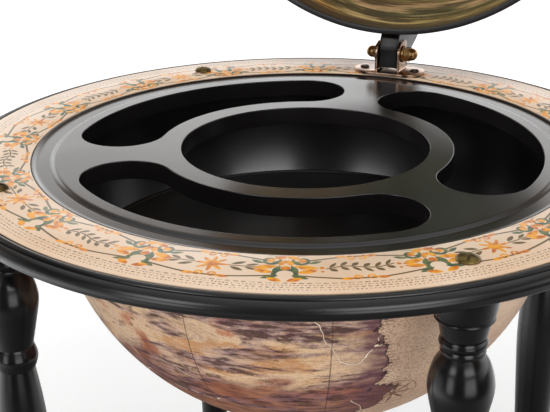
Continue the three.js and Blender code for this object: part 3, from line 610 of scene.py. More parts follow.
# %% [markdown]
# The map on the globe is an old-looking print with invented continents: each is a round patch whose
# coast a noise makes ragged. Colour follows the distance from the coast: an ink line, a plum fringe
# inside, then tan, gold and brick red provinces under dark brushed streaks and fine engraver's lines,
# molehill mountains and a few pale rivers. Outside lies a beige sea with stipple, thin parallels and
# meridians and a compass rose. It is drawn on the direction from the globe's centre, so both halves show
# one map.

# %% Map print
CONTINENTS = (
    (-8, -20, 0.74), (-88, -44, 0.3), (122, -14, 0.6), (172, -46, 0.46), (-130, -8, 0.62),
    (60, 38, 0.58), (-20, 50, 0.5), (-150, 42, 0.74), (126, 52, 0.4),
)


def direction_to(azimuth, elevation):
    """A direction by its azimuth from the front and its elevation, in degrees."""
    a, e = math.radians(azimuth), math.radians(elevation)
    return Vector((math.sin(a) * math.cos(e), -math.cos(a) * math.cos(e), math.sin(e)))


def inked_line(tree, value, every, width, stretch=1):
    """A mask of thin lines where a value is a multiple of a step. Stretch is a socket or a number."""
    away = add(tree, "Math MULTIPLY", add(tree, "Math PINGPONG", value, every / 2), stretch)
    return add(tree, "Math LESS_THAN", away, width / 2)


def compass_rose(tree, way, azimuth, elevation, globe_radius):
    """A rose of eight rays in two circles, seen from its own place on the globe."""
    east, north = (
        add(tree, "VectorMath DOT_PRODUCT", way, axis, out="Value")
        for axis in (direction_to(azimuth + 90, 0), direction_to(azimuth, elevation + 90))
    )
    x, y = (add(tree, "Math MULTIPLY", share, globe_radius) for share in (east, north))
    near = add(tree, "VectorMath DOT_PRODUCT", way, direction_to(azimuth, elevation), out="Value")
    far = add(tree, "VectorMath LENGTH", add(tree, "CombineXYZ", X=x, Y=y), out="Value")
    angle = add(tree, "Math ARCTAN2", y, x)
    wave = add(tree, "Math COSINE", add(tree, "Math MULTIPLY", angle, 4))
    ray = add(tree, "Math POWER", add(tree, "Math ABSOLUTE", wave), 6)
    star = add(tree, "Math LESS_THAN", far, add(tree, "Math MULTIPLY_ADD", ray, 11, 2.2))
    outer, inner = (add(tree, "Math COMPARE", far, *ring) for ring in ((14.6, 0.35), (9, 0.25)))
    rose = any_of(tree, [star, outer, inner])
    return add(tree, "Math MULTIPLY", rose, add(tree, "Math GREATER_THAN", near, 0))


def printed_map(name, centre, turned, globe_radius):
    material, tree, shader = start_material(name, IOR=1.36, Coat_Weight=0.06, Coat_Roughness=0.3)
    place = millimetres(tree, centre, turned)
    way = add(tree, "VectorMath NORMALIZE", place)
    axes = add(tree, "SeparateXYZ", way).node.outputs
    latitude = add(tree, "Math MULTIPLY", add(tree, "Math ARCSINE", axes["Z"]), 180 / math.pi)
    turned_by = add(tree, "Math ARCTAN2", axes["X"], axes["Y"])
    longitude = add(tree, "Math MULTIPLY", turned_by, 180 / math.pi)

    # Distance inside the coast, as a share of the globe's radius, negative at sea
    ragged = add(tree, "TexNoise", Vector=way, Scale=3.4, Detail=9, Roughness=0.6)
    patches = [
        add(tree, "Math SUBTRACT", size,
            add(tree, "VectorMath DISTANCE", way, direction_to(azimuth, elevation), out="Value"))
        for azimuth, elevation, size in CONTINENTS
    ]
    swell = add(tree, "Math SUBTRACT", ragged, 0.5)
    inland = add(tree, "Math MULTIPLY_ADD", swell, 0.6, any_of(tree, patches))
    land = add(tree, "Math GREATER_THAN", inland, 0)

    # Sea: beige paper, stipple that thickens towards the coast, and short level strokes along it
    cloud = add(tree, "TexNoise", Vector=place, Scale=1 / 60, Detail=6, Roughness=0.6)
    sea = add(tree, "ValToRGB", Fac=cloud, stops=((0.3, "#B4927E"), (0.5, "#CBAA90"), (0.68, "#D9BDA0")))
    grain = add(tree, "TexNoise", Vector=place, Scale=1 / 1.1, Detail=3)
    near_coast = add(tree, "MapRange", inland, -0.25, 0, 0.35, 0.8)
    stipple = add(tree, "Math MULTIPLY", add(tree, "MapRange", grain, 0.5, 0.6), near_coast)
    sea = lay_over(tree, sea, "#866A58", stipple)
    strokes = inked_line(tree, latitude, 0.9, 0.4)
    shore = add(tree, "MapRange", inland, -0.04, -0.01, 0, 0.6)
    sea = lay_over(tree, sea, "#6E5248", add(tree, "Math MULTIPLY", strokes, shore))

    # Land: provinces, brushed streaks that lie along the parallels, and engraver's lines in the streaks
    province = add(tree, "TexNoise", Vector=add(tree, "Mapping", way, Scale=(2.4, 2.4, 4.6)), Scale=1,
                   Detail=6, Roughness=0.62, Distortion=0.5)
    ground = add(tree, "ValToRGB", Fac=province, stops=(
        (0.36, "#9A533B"), (0.42, "#B97F5D"), (0.47, "#CDAD8F"), (0.55, "#D0AF8C"), (0.61, "#BB8757"),
        (0.68, "#C4A48A")))
    level = add(tree, "Mapping", way, Location=(1.3, 0.4, 0.6), Scale=(2.4, 2.4, 9))
    streak = add(tree, "TexNoise", Vector=level, Scale=1, Detail=8, Roughness=0.7, Distortion=0.6)
    fine = add(tree, "Mapping", way, Scale=(13, 13, 60))
    hatch = add(tree, "TexNoise", Vector=fine, Scale=1, Detail=5)
    south = add(tree, "Math MULTIPLY_ADD", add(tree, "Math SUBTRACT", province, 0.5), 60, latitude)
    brick = add(tree, "ValToRGB", Fac=hatch, stops=((0.4, "#965B40"), (0.6, "#66342A")))
    ground = lay_over(tree, ground, brick, add(tree, "MapRange", south, -24, -33, 0, 0.88))
    shading = add(tree, "MapRange", streak, 0.475, 0.55)
    brushed = add(tree, "Math MULTIPLY", shading, add(tree, "MapRange", hatch, 0.38, 0.54, 0.3, 0.95))
    plum = add(tree, "ValToRGB", Fac=hatch, stops=((0.42, "#84687A"), (0.56, "#4A2F30")))
    ground = lay_over(tree, ground, plum, brushed)
    lines = add(tree, "Math PINGPONG", add(tree, "Math MULTIPLY", hatch, 9), 0.5)
    lines = add(tree, "Math MULTIPLY", add(tree, "MapRange", lines, 0.1, 0.03),
                add(tree, "MapRange", streak, 0.46, 0.56, 0, 0.75))
    ground = lay_over(tree, ground, "#3A2528", lines)
    fringe = add(tree, "Math MULTIPLY", add(tree, "MapRange", inland, 0.15, 0.03, 0, 0.92),
                 add(tree, "MapRange", hatch, 0.36, 0.56, 0.65, 1))
    ground = lay_over(tree, ground, "#64404A", fringe)
    ground = lay_over(tree, ground, "#8A6248", add(tree, "MapRange", grain, 0.52, 0.64, 0, 0.4))

    # Molehill mountains: an arch over the middle of each cell, with a shaded side
    cells = add(tree, "TexVoronoi", Vector=way, Scale=23, Randomness=0.6, out="Position").node
    spot = add(tree, "VectorMath SUBTRACT", way, cells.outputs["Position"])
    height = add(tree, "SeparateXYZ", spot).node.outputs["Z"]
    far = add(tree, "VectorMath LENGTH", spot, out="Value")
    arch = add(tree, "Math COMPARE", far, 0.0155, 0.0028)
    shaded = add(tree, "Math MULTIPLY", add(tree, "Math LESS_THAN", far, 0.0155),
                 add(tree, "MapRange", grain, 0.44, 0.5, 0.2, 0.9))
    hill = add(tree, "Math MULTIPLY", add(tree, "Math MAXIMUM", arch, shaded),
               add(tree, "Math GREATER_THAN", height, -0.006))
    chain = add(tree, "TexNoise", Vector=way, Scale=1.9, Detail=2)
    mountains = add(tree, "Math MULTIPLY", hill, add(tree, "Math COMPARE", chain, 0.5, 0.026))
    ground = lay_over(tree, ground, "#6E5236", add(tree, "Math MULTIPLY", mountains, 0.8))

    # Rivers: pale lines with a darker bank, where a noise crosses its middle
    water = add(tree, "TexNoise", Vector=add(tree, "Mapping", way, Location=(3, 1, 2)), Scale=2.1,
                Detail=4, Roughness=0.42)
    dry = add(tree, "Math GREATER_THAN", province, 0.46)
    bank = add(tree, "Math MULTIPLY", add(tree, "Math COMPARE", water, 0.5, 0.0042), dry)
    ground = lay_over(tree, ground, "#6D5048", add(tree, "Math MULTIPLY", bank, 0.6))
    stream = add(tree, "Math MULTIPLY", add(tree, "Math COMPARE", water, 0.5, 0.0022), dry)
    ground = lay_over(tree, ground, "#DCC9B2", stream)

    colour = lay_over(tree, sea, ground, land)
    colour = lay_over(tree, colour, "#3E2628", add(tree, "Math COMPARE", inland, 0, 0.0045))
    parallels = inked_line(tree, latitude, 20, 0.2)
    shrink = add(tree, "Math COSINE", add(tree, "Math ARCSINE", axes["Z"]))
    meridians = inked_line(tree, add(tree, "Math ADD", longitude, 56), 30, 0.28, shrink)
    worn = add(tree, "MapRange", grain, 0.4, 0.6, 0.9, 0.35)
    colour = lay_over(tree, colour, "#8C6A52", add(tree, "Math MULTIPLY", parallels, 0.5))
    colour = lay_over(tree, colour, "#4E3026", add(tree, "Math MULTIPLY", meridians, worn))
    rose = compass_rose(tree, way, 43, -35, globe_radius)
    colour = lay_over(tree, colour, "#6E452C", add(tree, "Math MULTIPLY", rose, 0.85))
    connect(tree, shader, Base_Color=colour)
    roughen(tree, shader, place, grain_mm=0.8, depth_mm=0.01, low=0.48, high=0.6, patch_mm=40)
    return material


# %% [markdown]
# The lid's lining is a varnished print too. It stands for a painted evening sky: bands of umber, tan,
# olive and rose that follow the rim, as strokes of a wide brush would, with a few orange gleams between
# them and a dark border at the edge ring. The height above the rim picks the band, and two noises on the
# direction from the lid's centre push it up and down, one in long waves and one as bristle marks.

# %% Painted lining
def painted_lining():
    material, tree, shader = start_material("varnished_print_with_clouds", IOR=1.5, Coat_Weight=0.6,
                                            Coat_Roughness=0.14)
    place = millimetres(tree, lid_place.translation, (-lid_turn, 0, 0))
    way = add(tree, "VectorMath NORMALIZE", place)
    height = add(tree, "SeparateXYZ", way).node.outputs["Z"]

    def brushed(along, across, detail, origin=(0, 0, 0), **settings):
        """A noise on the direction from the lid's centre, drawn out along the rim as by a brush."""
        drawn = add(tree, "Mapping", way, Location=origin, Scale=(along, along, across))
        return add(tree, "TexNoise", Vector=drawn, Scale=1, Detail=detail, **settings)

    wave = brushed(1.6, 5, 3, Distortion=0.5)
    bristle = brushed(3, 46, 7, Roughness=0.72)
    pushed = add(tree, "Math MULTIPLY_ADD", add(tree, "Math SUBTRACT", wave, 0.5), 0.4, height)
    pushed = add(tree, "Math MULTIPLY_ADD", add(tree, "Math SUBTRACT", bristle, 0.5), 0.28, pushed)
    tone = add(tree, "ValToRGB", Fac=pushed, stops=(
        (0, "#33241A"), (0.07, "#5A4028"), (0.11, "#8C7446"), (0.15, "#CAAF70"), (0.185, "#A28A50"),
        (0.22, "#4A3824"), (0.27, "#6C653E"), (0.32, "#D4AC7C"), (0.355, "#6A4B32"), (0.41, "#89824A"),
        (0.48, "#E0B976"), (0.54, "#5E5A38"), (0.63, "#A6985A"), (0.72, "#3D4A44"), (0.85, "#7F8C78")))
    gleam = brushed(1.7, 13, 5, (5, 2, 0))
    sides = add(tree, "Math ABSOLUTE", add(tree, "SeparateXYZ", way).node.outputs["X"])
    gleam = add(tree, "Math MULTIPLY", add(tree, "MapRange", gleam, 0.54, 0.63, 0, 0.95),
                add(tree, "MapRange", sides, 0.25, 0.5))
    tone = lay_over(tree, tone, "#E8932A", gleam)
    smoke = brushed(2.2, 9, 6, (9, 4, 3))
    tone = lay_over(tree, tone, "#3A2A1E", add(tree, "MapRange", smoke, 0.55, 0.68, 0, 0.75))
    stroke = brushed(2.2, 34, 6, (2, 7, 1), Roughness=0.66)
    tone = lay_over(tree, tone, "#DDBE84", add(tree, "MapRange", stroke, 0.44, 0.36, 0, 0.75))
    tone = lay_over(tree, tone, "#2C2116", add(tree, "MapRange", stroke, 0.5, 0.58, 0, 0.8))
    border = add(tree, "MapRange", height, 0.1, 0.05, 0, 0.9)
    tone = lay_over(tree, tone, "#33221E", border)
    connect(tree, shader, Base_Color=tone)
    roughen(tree, shader, place, grain_mm=1.2, depth_mm=0.01, low=0.26, high=0.36, patch_mm=40)
    return material


# %% [markdown]
# The studio has a bright white sweep behind the bar and at its sides, and is dark around the camera. Low
# views of the black deck mirror the sweep, up to the height where it ends and a warm, dim wall begins.
# Round black things carry four soft highlights from lamps in front, two stronger ones above two, and a
# weak light from the ceiling. For glossy rays the world and the floor follow this, and the diffuse light
# stays even, so colours look as written. The floor is pale, wide and keeps the bar's shadow.

# %% Studio
def sweep_brightness(tree, behind, start, end, dim):
    """How bright the sweep is for a mirror, from a measure that grows towards the back."""
    return add(tree, "MapRange", behind, start, end, dim, 1.6, interpolation_type="SMOOTHSTEP")


def studio():
    world = bpy.data.worlds.new("white_studio")
    bpy.context.scene.world = world
    world.use_nodes = True
    tree = world.node_tree
    path = add(tree, "LightPath").node.outputs
    way = add(tree, "SeparateXYZ", add(tree, "TexCoord", out="Generated")).node.outputs
    below_edge = add(tree, "MapRange", way["Z"], 0.335, 0.405, 1, 0, interpolation_type="SMOOTHSTEP")
    ceiling = add(tree, "MapRange", way["Z"], 0.55, 0.85, 0, 0.45, interpolation_type="SMOOTHSTEP")
    share = add(tree, "Math MULTIPLY_ADD", below_edge, 0.84, 0.16)
    sweep = sweep_brightness(tree, way["Y"], -0.45, 0.55, 0.08)
    mirrored = add(tree, "Math MULTIPLY_ADD", sweep, share, ceiling)
    level = add(tree, "Mix", into={0: path["Is Glossy Ray"], 2: 0.43, 3: mirrored})
    level = add(tree, "Mix", into={0: path["Is Camera Ray"], 2: level, 3: 1.0})
    neutral = add(tree, "Math MAXIMUM", below_edge, add(tree, "MapRange", way["Z"], 0.5, 0.7))
    neutral = add(tree, "Math MAXIMUM", neutral, add(tree, "Math SUBTRACT", 1, path["Is Glossy Ray"]))
    tint = lay_over(tree, linear("#FFE3C8"), "#FFFFFF", neutral)
    tree.links.new(level, tree.nodes["Background"].inputs["Strength"])
    tree.links.new(tint, tree.nodes["Background"].inputs["Color"])


def soft_box(name, azimuth, elevation, width, height, watts, mirrored):
    """A lamp that looks at the bar from a direction. Only some of them show in mirrors."""
    middle_of_bar, distance = Vector((0, 0, 0.72)), 2.3
    light = bpy.data.lights.new(name, "AREA")
    light.shape = "RECTANGLE"
    light.size, light.size_y, light.energy = width, height, watts
    box = bpy.data.objects.new(name, light)
    bpy.context.scene.collection.objects.link(box)
    way = direction_to(azimuth, elevation)
    box.location = middle_of_bar + way * distance
    box.rotation_euler = (-way).to_track_quat("-Z", "Y").to_euler()
    box.visible_glossy = mirrored
    print(name, "gives", round(watts, 2), "W")


def pale_floor():
    material, tree, shader = start_material("pale_studio_floor", Roughness=0.8)
    place = millimetres(tree)
    path = add(tree, "LightPath").node.outputs
    cloud = add(tree, "TexNoise", Vector=place, Scale=1 / 400, Detail=3)
    tone = add(tree, "ValToRGB", Fac=cloud, stops=((0.3, "#F2F2F2"), (0.7, "#F7F7F6")))
    behind = add(tree, "VectorMath DOT_PRODUCT", place, (-0.6 * MM, 0.8 * MM, 0), out="Value")
    away = add(tree, "VectorMath LENGTH", place, out="Value")
    # As mirrors see it, the floor is painted darker towards the bar, down to a tenth within half a metre:
    # painted shade under the bar.
    clear = add(tree, "MapRange", away, 500, 1500, 0.1, 1, interpolation_type="SMOOTHSTEP")
    mirrored = add(tree, "Math MULTIPLY", sweep_brightness(tree, behind, -1.5, 0.5, 0.06), clear)
    tone = lay_over(tree, tone, mirrored, path["Is Glossy Ray"])
    fade = add(tree, "MapRange", away, 500, 2200, 0.12, 0.7, interpolation_type="SMOOTHSTEP")
    glow = add(tree, "Math MULTIPLY", path["Is Camera Ray"], fade)
    shader.inputs["Emission Color"].default_value = (1, 1, 1, 1)
    connect(tree, shader, Base_Color=tone, Emission_Strength=glow)
    bpy.ops.object.select_all(action="DESELECT")
    bpy.ops.mesh.primitive_plane_add(size=40, location=(0, 0, -0.0005))
    floor = bpy.context.object
    floor.name = "studio_floor"
    floor.data.materials.append(material)


studio()
for name, azimuth, elevation, width, height, watts in (
    ("lamp_above", -20, 78, 1.5, 1.2, 22),
    ("lamp_left", -75, 20, 0.8, 1.4, 9),
    ("lamp_right", 100, 20, 0.7, 1.3, 4),
    ("lamp_low", 8, -12, 1.4, 0.7, 8),
):
    soft_box(name, azimuth, elevation, width, height, watts, mirrored=False)
for azimuth, width in ((-18, 0.8), (44, 1.3)):
    for elevation, strength in ((-4, 5), (24, 7.2)):
        name = f"front_lamp_{azimuth}_{elevation}"
        soft_box(name, azimuth, elevation, width, 0.8, strength * width, mirrored=True)
pale_floor()

# %% [markdown]
# The finishes of this bar, each made once and shared by the pieces that have it. The two maps are
# centred on the bowl and on the open lid, so that they meet when the lid is closed.

# %% Finishes
gloss_lacquer = black_lacquer("gloss_black_lacquer_on_beech", low=0.2, high=0.28, coat=0.15)
satin_lacquer = black_lacquer("satin_black_lacquer_on_beech", low=0.25, high=0.32, coat=0.6)
deck_plastic = black_plastic("satin_black_polystyrene", "#110F10", "#1B1818",
                             low=0.17, high=0.24, coat=0.5)
liner_plastic = black_plastic("semi_gloss_black_polystyrene", "#060506", "#0F0D0F",
                              low=0.2, high=0.26, coat=1, ior=1.66)
floor_plastic = black_plastic("satin_black_bottle_floor", "#050405", "#0B0A0A",
                              low=0.32, high=0.42, coat=0.1)
edge_plastic = black_plastic("satin_black_edge_strip", "#171416", "#201C1E",
                             low=0.3, high=0.4, coat=0.2)
black_steel = black_plastic("black_enamel_on_steel", "#0A0A0A", "#141313",
                            low=0.26, high=0.34, coat=0.1, ior=1.45)
screw_brass = worn_metal("greenish_aged_brass", "#93804F", "#574628", low=0.34, high=0.46, blotch_mm=7)
hinge_brass = worn_metal("orange_antique_brass", "#C49C66", "#48331B", low=0.2, high=0.34, blotch_mm=4)
caster_brass = worn_metal("dull_cast_brass", "#9A7A48", "#4C3A22", low=0.35, high=0.5, blotch_mm=9)
bronzed = worn_metal("rosy_bronzed_steel", "#BEA18C", "#8F7464",
                     low=0.16, high=0.26, blotch_mm=14, streak=(1, 1, 0.25))
dark_steel = worn_metal("blackened_steel", "#66584C", "#211A16", low=0.3, high=0.45, blotch_mm=3)
rubber = black_rubber()
band_print = printed_band()
bowl_map = printed_map("varnished_paper_map_lower", bowl_centre, (0, 0, 0), bowl_radius)
lid_map = printed_map("varnished_paper_map_upper", lid_place.translation, (-lid_turn, 0, 0), lid_radius)
lining_print = painted_lining()
print("Finishes:", [material.name for material in bpy.data.materials if not material.users])

# %% [markdown]
# The board is turned on a faceplate: a flat seat for the paper band, a small bead that guards its edge,
# a groove, and a half-round rim. It is one outline spun round the axis, in fine steps, because its rim
# draws the longest smooth line of the whole piece.

# %% Horizon ring
top = ring_top
ring = turn("horizon_board", [
    (172, top - 1.1),
    (215.5, top - 1.1),
    *arc((217.3, top - 2), 2, 153, 0, 10),
    (219.6, top - 2.4),
    *arc((219.3, top - 6.3), 5.4, 73, -90, 26),
    (166, top - 11.7),
    (166, top - 4.4),
    (172, top - 4.4),
    (172, top - 1.1),
], 192)
settle(shade(ring), ring_place, "stand", satin_lacquer, "black_lacquered_wood", "horizon_ring")

underside = top - 0.8
band = turn("paper_band", [
    (172.2, underside), (215, underside), (215, top), (172.2, top), (172.2, underside),
], 192)
settle(shade(soften(band, 0.12)), ring_place, "stand", band_print, "printed_paper", "ring_band")

# %% [markdown]
# The tray is thermoformed: all edges are rounded, and each opening turns down into a short skirt. The
# deck with its gutter and the round skirt is one spun outline. The kidney skirts are slabs joined to it
# and then cut through. Flat faces that the cuts left in pieces are merged, all sharp edges are rounded
# over, and the normals are made to follow the large faces, so that the deck mirrors the room evenly.
# The merging goes through the edges in their order, which the cuts leave different on each run. So they
# are sorted first, by their distance from the cursor, which stands beside the tray for as long as that.
# The deck is spun in steps of two degrees and turned by one, so that no spoke ends near a corner of an
# opening's outline, where the rounding would pinch.

# %% Tray
OPENINGS = (0, 120, 240)


def kidney(grow, turned):
    """The outline of a kidney opening, made wider all round."""
    inner, outer, half = 94.2 - grow, 149.2 + grow, 40
    middle, end = (inner + outer) / 2, (outer - inner) / 2
    start, stop = turned - 90 - half, turned - 90 + half
    first, last = arc((0, 0), middle, start, stop, 1)
    return [
        *arc((0, 0), outer, start, stop, 40),
        *arc(last, end, stop, stop + 180, 24)[1:],
        *arc((0, 0), inner, stop, start, 40)[1:],
        *arc(first, end, start + 180, start + 360, 24)[1:-1],
    ]


well_radius = 79
skirt_wall = 2
skirt_low = top - 12
deck_low = top - 2.5
lip_radius = 0.55
tray = turn("moulded_tray", [
    (well_radius, skirt_low),
    (well_radius, top),
    *smooth_line([
        (155.6, top), (157.7, top - 0.15), (159.3, top - 1.15), (160.6, top - 1.58), (162, top - 1.6),
    ], 5),
    *smooth_line([(167.2, top - 1.6), (168.8, top - 1.45), (169.9, top - 0.9), (170.8, top - 0.38)], 4),
    *arc((171.2, top - 0.8), 0.5, 100, 0, 4),
    (171.7, top - 4.1),
    (159.3, top - 4.1),
    (156.8, deck_low),
    (well_radius + skirt_wall, deck_low),
    (well_radius + skirt_wall, skirt_low),
    (well_radius, skirt_low),
], 180)
tray.data.transform(Matrix.Rotation(math.radians(1), 4, "Z"))
for turned in OPENINGS:
    skirt = slab("skirt", [(x, y, skirt_low) for x, y in kidney(skirt_wall, turned)], (0, 0, 10.5))
    combine(tray, skirt, "UNION")
for turned in OPENINGS:
    hole = slab("hole", [(x, y, top - 13) for x, y in kidney(0, turned)], (0, 0, 14))
    combine(tray, hole, "DIFFERENCE")
pick(tray)
cursor = bpy.context.scene.cursor
bpy.ops.object.mode_set(mode="EDIT")
bpy.ops.mesh.select_all(action="SELECT")
cursor.location = (0.331, 0.127, 0.713)
bpy.ops.mesh.sort_elements(type="CURSOR_DISTANCE", elements={"VERT", "EDGE", "FACE"})
cursor.location = (0, 0, 0)
bpy.ops.mesh.dissolve_limited(angle_limit=math.radians(0.2))
bpy.ops.object.mode_set(mode="OBJECT")
modify(tray, "BEVEL", width=lip_radius * MM, segments=3, limit_method="ANGLE",
       angle_limit=math.radians(40), use_clamp_overlap=False)
modify(shade(tray, 40), "WEIGHTED_NORMAL", weight=90, keep_sharp=True)
settle(tray, ring_place, "stand", deck_plastic, "black_plastic", "tray")

# %% [markdown]
# Below the board hangs the lower half of the globe: a thin printed shell with a flange, a shiny black
# liner inside it, and a flat floor for the bottles whose edge turns up a little.

# %% Bowl
globe_centre = (0, globe_height)
shell_inside = 158.5
flange_radius, flange_low, flange_top = 176, 750.5, 753
bowl = turn("bowl_shell_with_map", [
    *arc(globe_centre, bowl_radius, -90, 0, 60),
    (bowl_radius, flange_low),
    (flange_radius, flange_low),
    (flange_radius, flange_top),
    (shell_inside, flange_top),
    *arc(globe_centre, shell_inside, 0, -90, 60),
], 192)
settle(shade(bowl), ring_place, "stand", bowl_map, "map_board", "bowl_shell")

liner_outside, liner_inside = 158.2, 156.5
lip_edge, lip_low, lip_top = 165.7, 753.3, 754.8
liner = turn("bowl_lining", [
    *arc(globe_centre, liner_outside, -90, 0, 60),
    (liner_outside, lip_low),
    (lip_edge, lip_low),
    (lip_edge, lip_top),
    *rounded([(158, lip_top), (liner_inside, lip_top), (liner_inside, 750)], 1.2),
    *arc(globe_centre, liner_inside, 0, -90, 60),
], 192)
settle(shade(liner), ring_place, "stand", liner_plastic, "black_plastic", "bowl_liner")

floor_low, floor_top, edge_top = 690, 693.2, 694
bottle_floor = turn("bottle_floor", [
    (0, floor_low),
    (143.4, floor_low),
    *rounded([(145.4, 692.4), (146.5, edge_top), (144, edge_top)], 0.7),
    *rounded([(143.6, edge_top), (142.6, floor_top), (140, floor_top)], 0.5),
    (0, floor_top),
], 160)
settle(shade(bottle_floor), ring_place, "stand", floor_plastic, "black_plastic", "bowl_floor")

# %% [markdown]
# The upper half is the lid: a printed shell, a painted lining and a black plastic ring round the edge
# that drops into the tray's gutter. They are spun closed, with the dome up, and swung open together.

# %% Lid
def dome(name, inside, outside):
    """Half a hollow ball, open below."""
    return turn(name, [*arc((0, 0), inside, 90, 0, 60), *arc((0, 0), outside, 0, 90, 60)], 192)


lid = dome("lid_shell_with_map", 166.3, 167.8)
settle(shade(lid), lid_place, "lid", lid_map, "map_board", "lid_shell")
lining = dome("lid_lining_with_clouds", 165.1, 166)
settle(shade(lining), lid_place, "lid", lining_print, "painted_lining", "lid_lining")
rim = turn("lid_edge_ring", [
    (165.1, -0.3),
    *rounded([(165.1, -1), (165.1, -2.8), (167, -2.8)], 0.4, 3),
    *rounded([(167, -2.8), (169.5, -2.8), (169.5, 0)], 1, 4)[1:],
    *rounded([(169.5, 0), (169.5, 3.2), (168.8, 3.2)], 0.6, 4)[1:],
    (168.1, 3.2),
    (168.1, -0.3),
    (165.1, -0.3),
], 192)
settle(shade(rim), lid_place, "lid", edge_plastic, "black_plastic", "lid_rim")

# %% [markdown]
# Screws. A slotted wood screw is a turned dome on a thin shank, with a saw cut across its head. Four of
# them hold the board to the legs. The hinge's two are small, dark and flatter, with a cross recess.

# %% Screws
def screw(name, outline, head_top, slots, slot_width, slot_depth):
    """A turned screw with a cut across its head for each slot, at an angle in degrees."""
    piece = turn(name, outline, 48)
    for degrees in slots:
        bpy.ops.mesh.primitive_cube_add(size=MM, location=(0, 0, head_top * MM))
        saw = bpy.context.object
        saw.scale = (30, slot_width, 2 * slot_depth)
        saw.rotation_euler.z = math.radians(degrees)
        combine(piece, saw, "DIFFERENCE")
    return shade(soften(piece, 0.15), 40)


ring_screw = screw("slotted_dome_screw", [
    (0, top - 39.7), (2.2, top - 36), (2.2, top + 0.3), (6.2, top + 0.3),
    (6.4, top + 0.6),
    *[(6.4 * math.cos(a), top + 0.6 + 2.7 * math.sin(a)) for a in (0.2, 0.4, 0.6, 0.8, 1.0, 1.2, 1.4)],
    (0, top + 3.3),
], head_top=top + 3.3, slots=(57,), slot_width=1.6, slot_depth=1.3)
screw_circle = 194.6


def on_circle(number):
    """The place of a leg, a screw or a stretcher, turned to its corner."""
    return ring_place @ Matrix.Rotation(math.radians(45 + 90 * number), 4, "Z")


def at_corners(piece, name, place, material, slot, node):
    """Puts a copy of a piece at each of the stand's four corners and throws the piece away."""
    for i, corner in enumerate(CORNERS):
        twin = copy_of(piece, name + corner)
        settle(twin, on_circle(i) @ place, "stand", material, slot, node + corner)
    bpy.data.objects.remove(piece)


out_to_leg = Matrix.Translation(Vector((0, -screw_circle, 0)) * MM)
at_corners(ring_screw, "slotted_dome_screw_", out_to_leg, screw_brass, "aged_brass", "ring_screw_")

hinge_screw = screw("small_hinge_screw", [
    (0, -10), (1.6, -8.4), (1.6, -0.2), (3.6, 0), (3.5, 0.35), (2.9, 0.8), (1.8, 1.15), (0, 1.2),
], head_top=1.2, slots=(15, 105), slot_width=0.7, slot_depth=0.6)
for side, x in (("left", -20), ("right", 20)):
    piece = copy_of(hinge_screw, "small_hinge_screw_" + side)
    place = hinge_place @ Matrix.Translation(Vector((x, -1.5, -12.2)) * MM)
    settle(piece, place, "stand", dark_steel, "dark_steel", "hinge_screw_" + side)
bpy.data.objects.remove(hinge_screw)

# %% [markdown]
# The hinge bracket is pressed from one sheet: a foot with round ends and two ears bent up from it, with
# a small radius where they leave the foot. Foot and ears are slabs joined into one, the inner corners
# are filled with a cove and the cut edges are broken, so that they draw bright lines.

# %% Hinge bracket
foot_low, foot_sheet, ear_sheet, ear_face = -14.5, 2, 1.8, 9.6


def keeps_x(edge):
    """Whether an edge runs square to the hinge's axis."""
    return abs(edge.verts[0].co.x - edge.verts[1].co.x) < 1e-6


def ear_corner(middle, edge):
    """The corners where the ears' outer faces leave the foot."""
    on_foot = abs(middle.z - foot_low - foot_sheet) < 0.01
    return on_foot and abs(abs(middle.x) - ear_face) < 0.01 and keeps_x(edge)


ear_line = [
    (-9.2, foot_low), (13, foot_low), *arc((7, 3.2), 6, 0, 90, 10), *arc((0, 0), 9.2, 90, 180, 18),
]
foot_line = [*arc((13, -1.5), 14.5, -90, 90, 32), *arc((-13, -1.5), 14.5, 90, 270, 32)]
bracket = slab("hinge_bracket_sheet", [(x, y, foot_low) for x, y in foot_line], (0, 0, foot_sheet))
for x in (-ear_face, ear_face - ear_sheet):
    ear = slab("ear", [(x, y, z) for y, z in ear_line], (ear_sheet, 0, 0))
    combine(bracket, ear, "UNION")
bpy.ops.object.mode_set(mode="EDIT")
select_where(bracket, "EDGE", ear_corner)
bpy.ops.mesh.bevel(offset=1.6 * MM, segments=5, affect="EDGES")
bpy.ops.object.mode_set(mode="OBJECT")
soften(bracket, 0.3, angle=50)
settle(shade(bracket, 40), hinge_place, "stand", bronzed, "bronzed_steel", "hinge_bracket")

# %% [markdown]
# Through the ears goes a bolt with a domed head. A washer lies on either side, and a dome nut closes the
# right end: a hexagon whose corners are turned off, with a cap on it.

# %% Bolt, washers and nut
bolt = turn("hinge_bolt_with_domed_head", [
    (0, -19),
    *[(4.5 * math.sin(a), -14.6 - 4.4 * math.cos(a)) for a in (0.25, 0.5, 0.75, 1.0, 1.25, 1.5)],
    (4.5, -12.3),
    (4.1, -11.7),
    (3, -11.7),
    (3, 18.2),
    (2.6, 18.7),
    (0, 18.7),
], 48, "X")
settle(shade(bolt, 40), hinge_place, "stand", hinge_brass, "aged_brass", "hinge_bolt")
for side, sign in (("left", -1), ("right", 1)):
    near, far = sign * 9.9, sign * 11.4
    washer = turn("hinge_washer_on_" + side, [
        (3.3, near), (6.5, near), (6.5, far), (3.3, far), (3.3, near),
    ], 48, "X")
    soften(washer, 0.35, segments=3)
    settle(shade(washer), hinge_place, "stand", hinge_brass, "aged_brass", "hinge_washer_" + side)
corner_reach = 10 / math.sqrt(3)
nut = slab("dome_nut", [(11.7, y, z) for y, z in arc((0, 0), corner_reach, 0, 300, 5)], (4.6, 0, 0))
chamfer = turn("chamfer", [
    (0, 11.6), (5.2, 11.6), (5.9, 12.1), (5.9, 15.6), (5.1, 16.4), (0, 16.4),
], 48, "X")
combine(nut, chamfer, "INTERSECT")
cap = turn("cap", [
    (0, 15), (4.7, 15), (4.7, 17.2),
    *[(4.7 * math.cos(a), 17.2 + 4.3 * math.sin(a)) for a in (0.25, 0.5, 0.75, 1.0, 1.25)],
    (0, 21.5),
], 48, "X")
combine(nut, cap, "UNION")
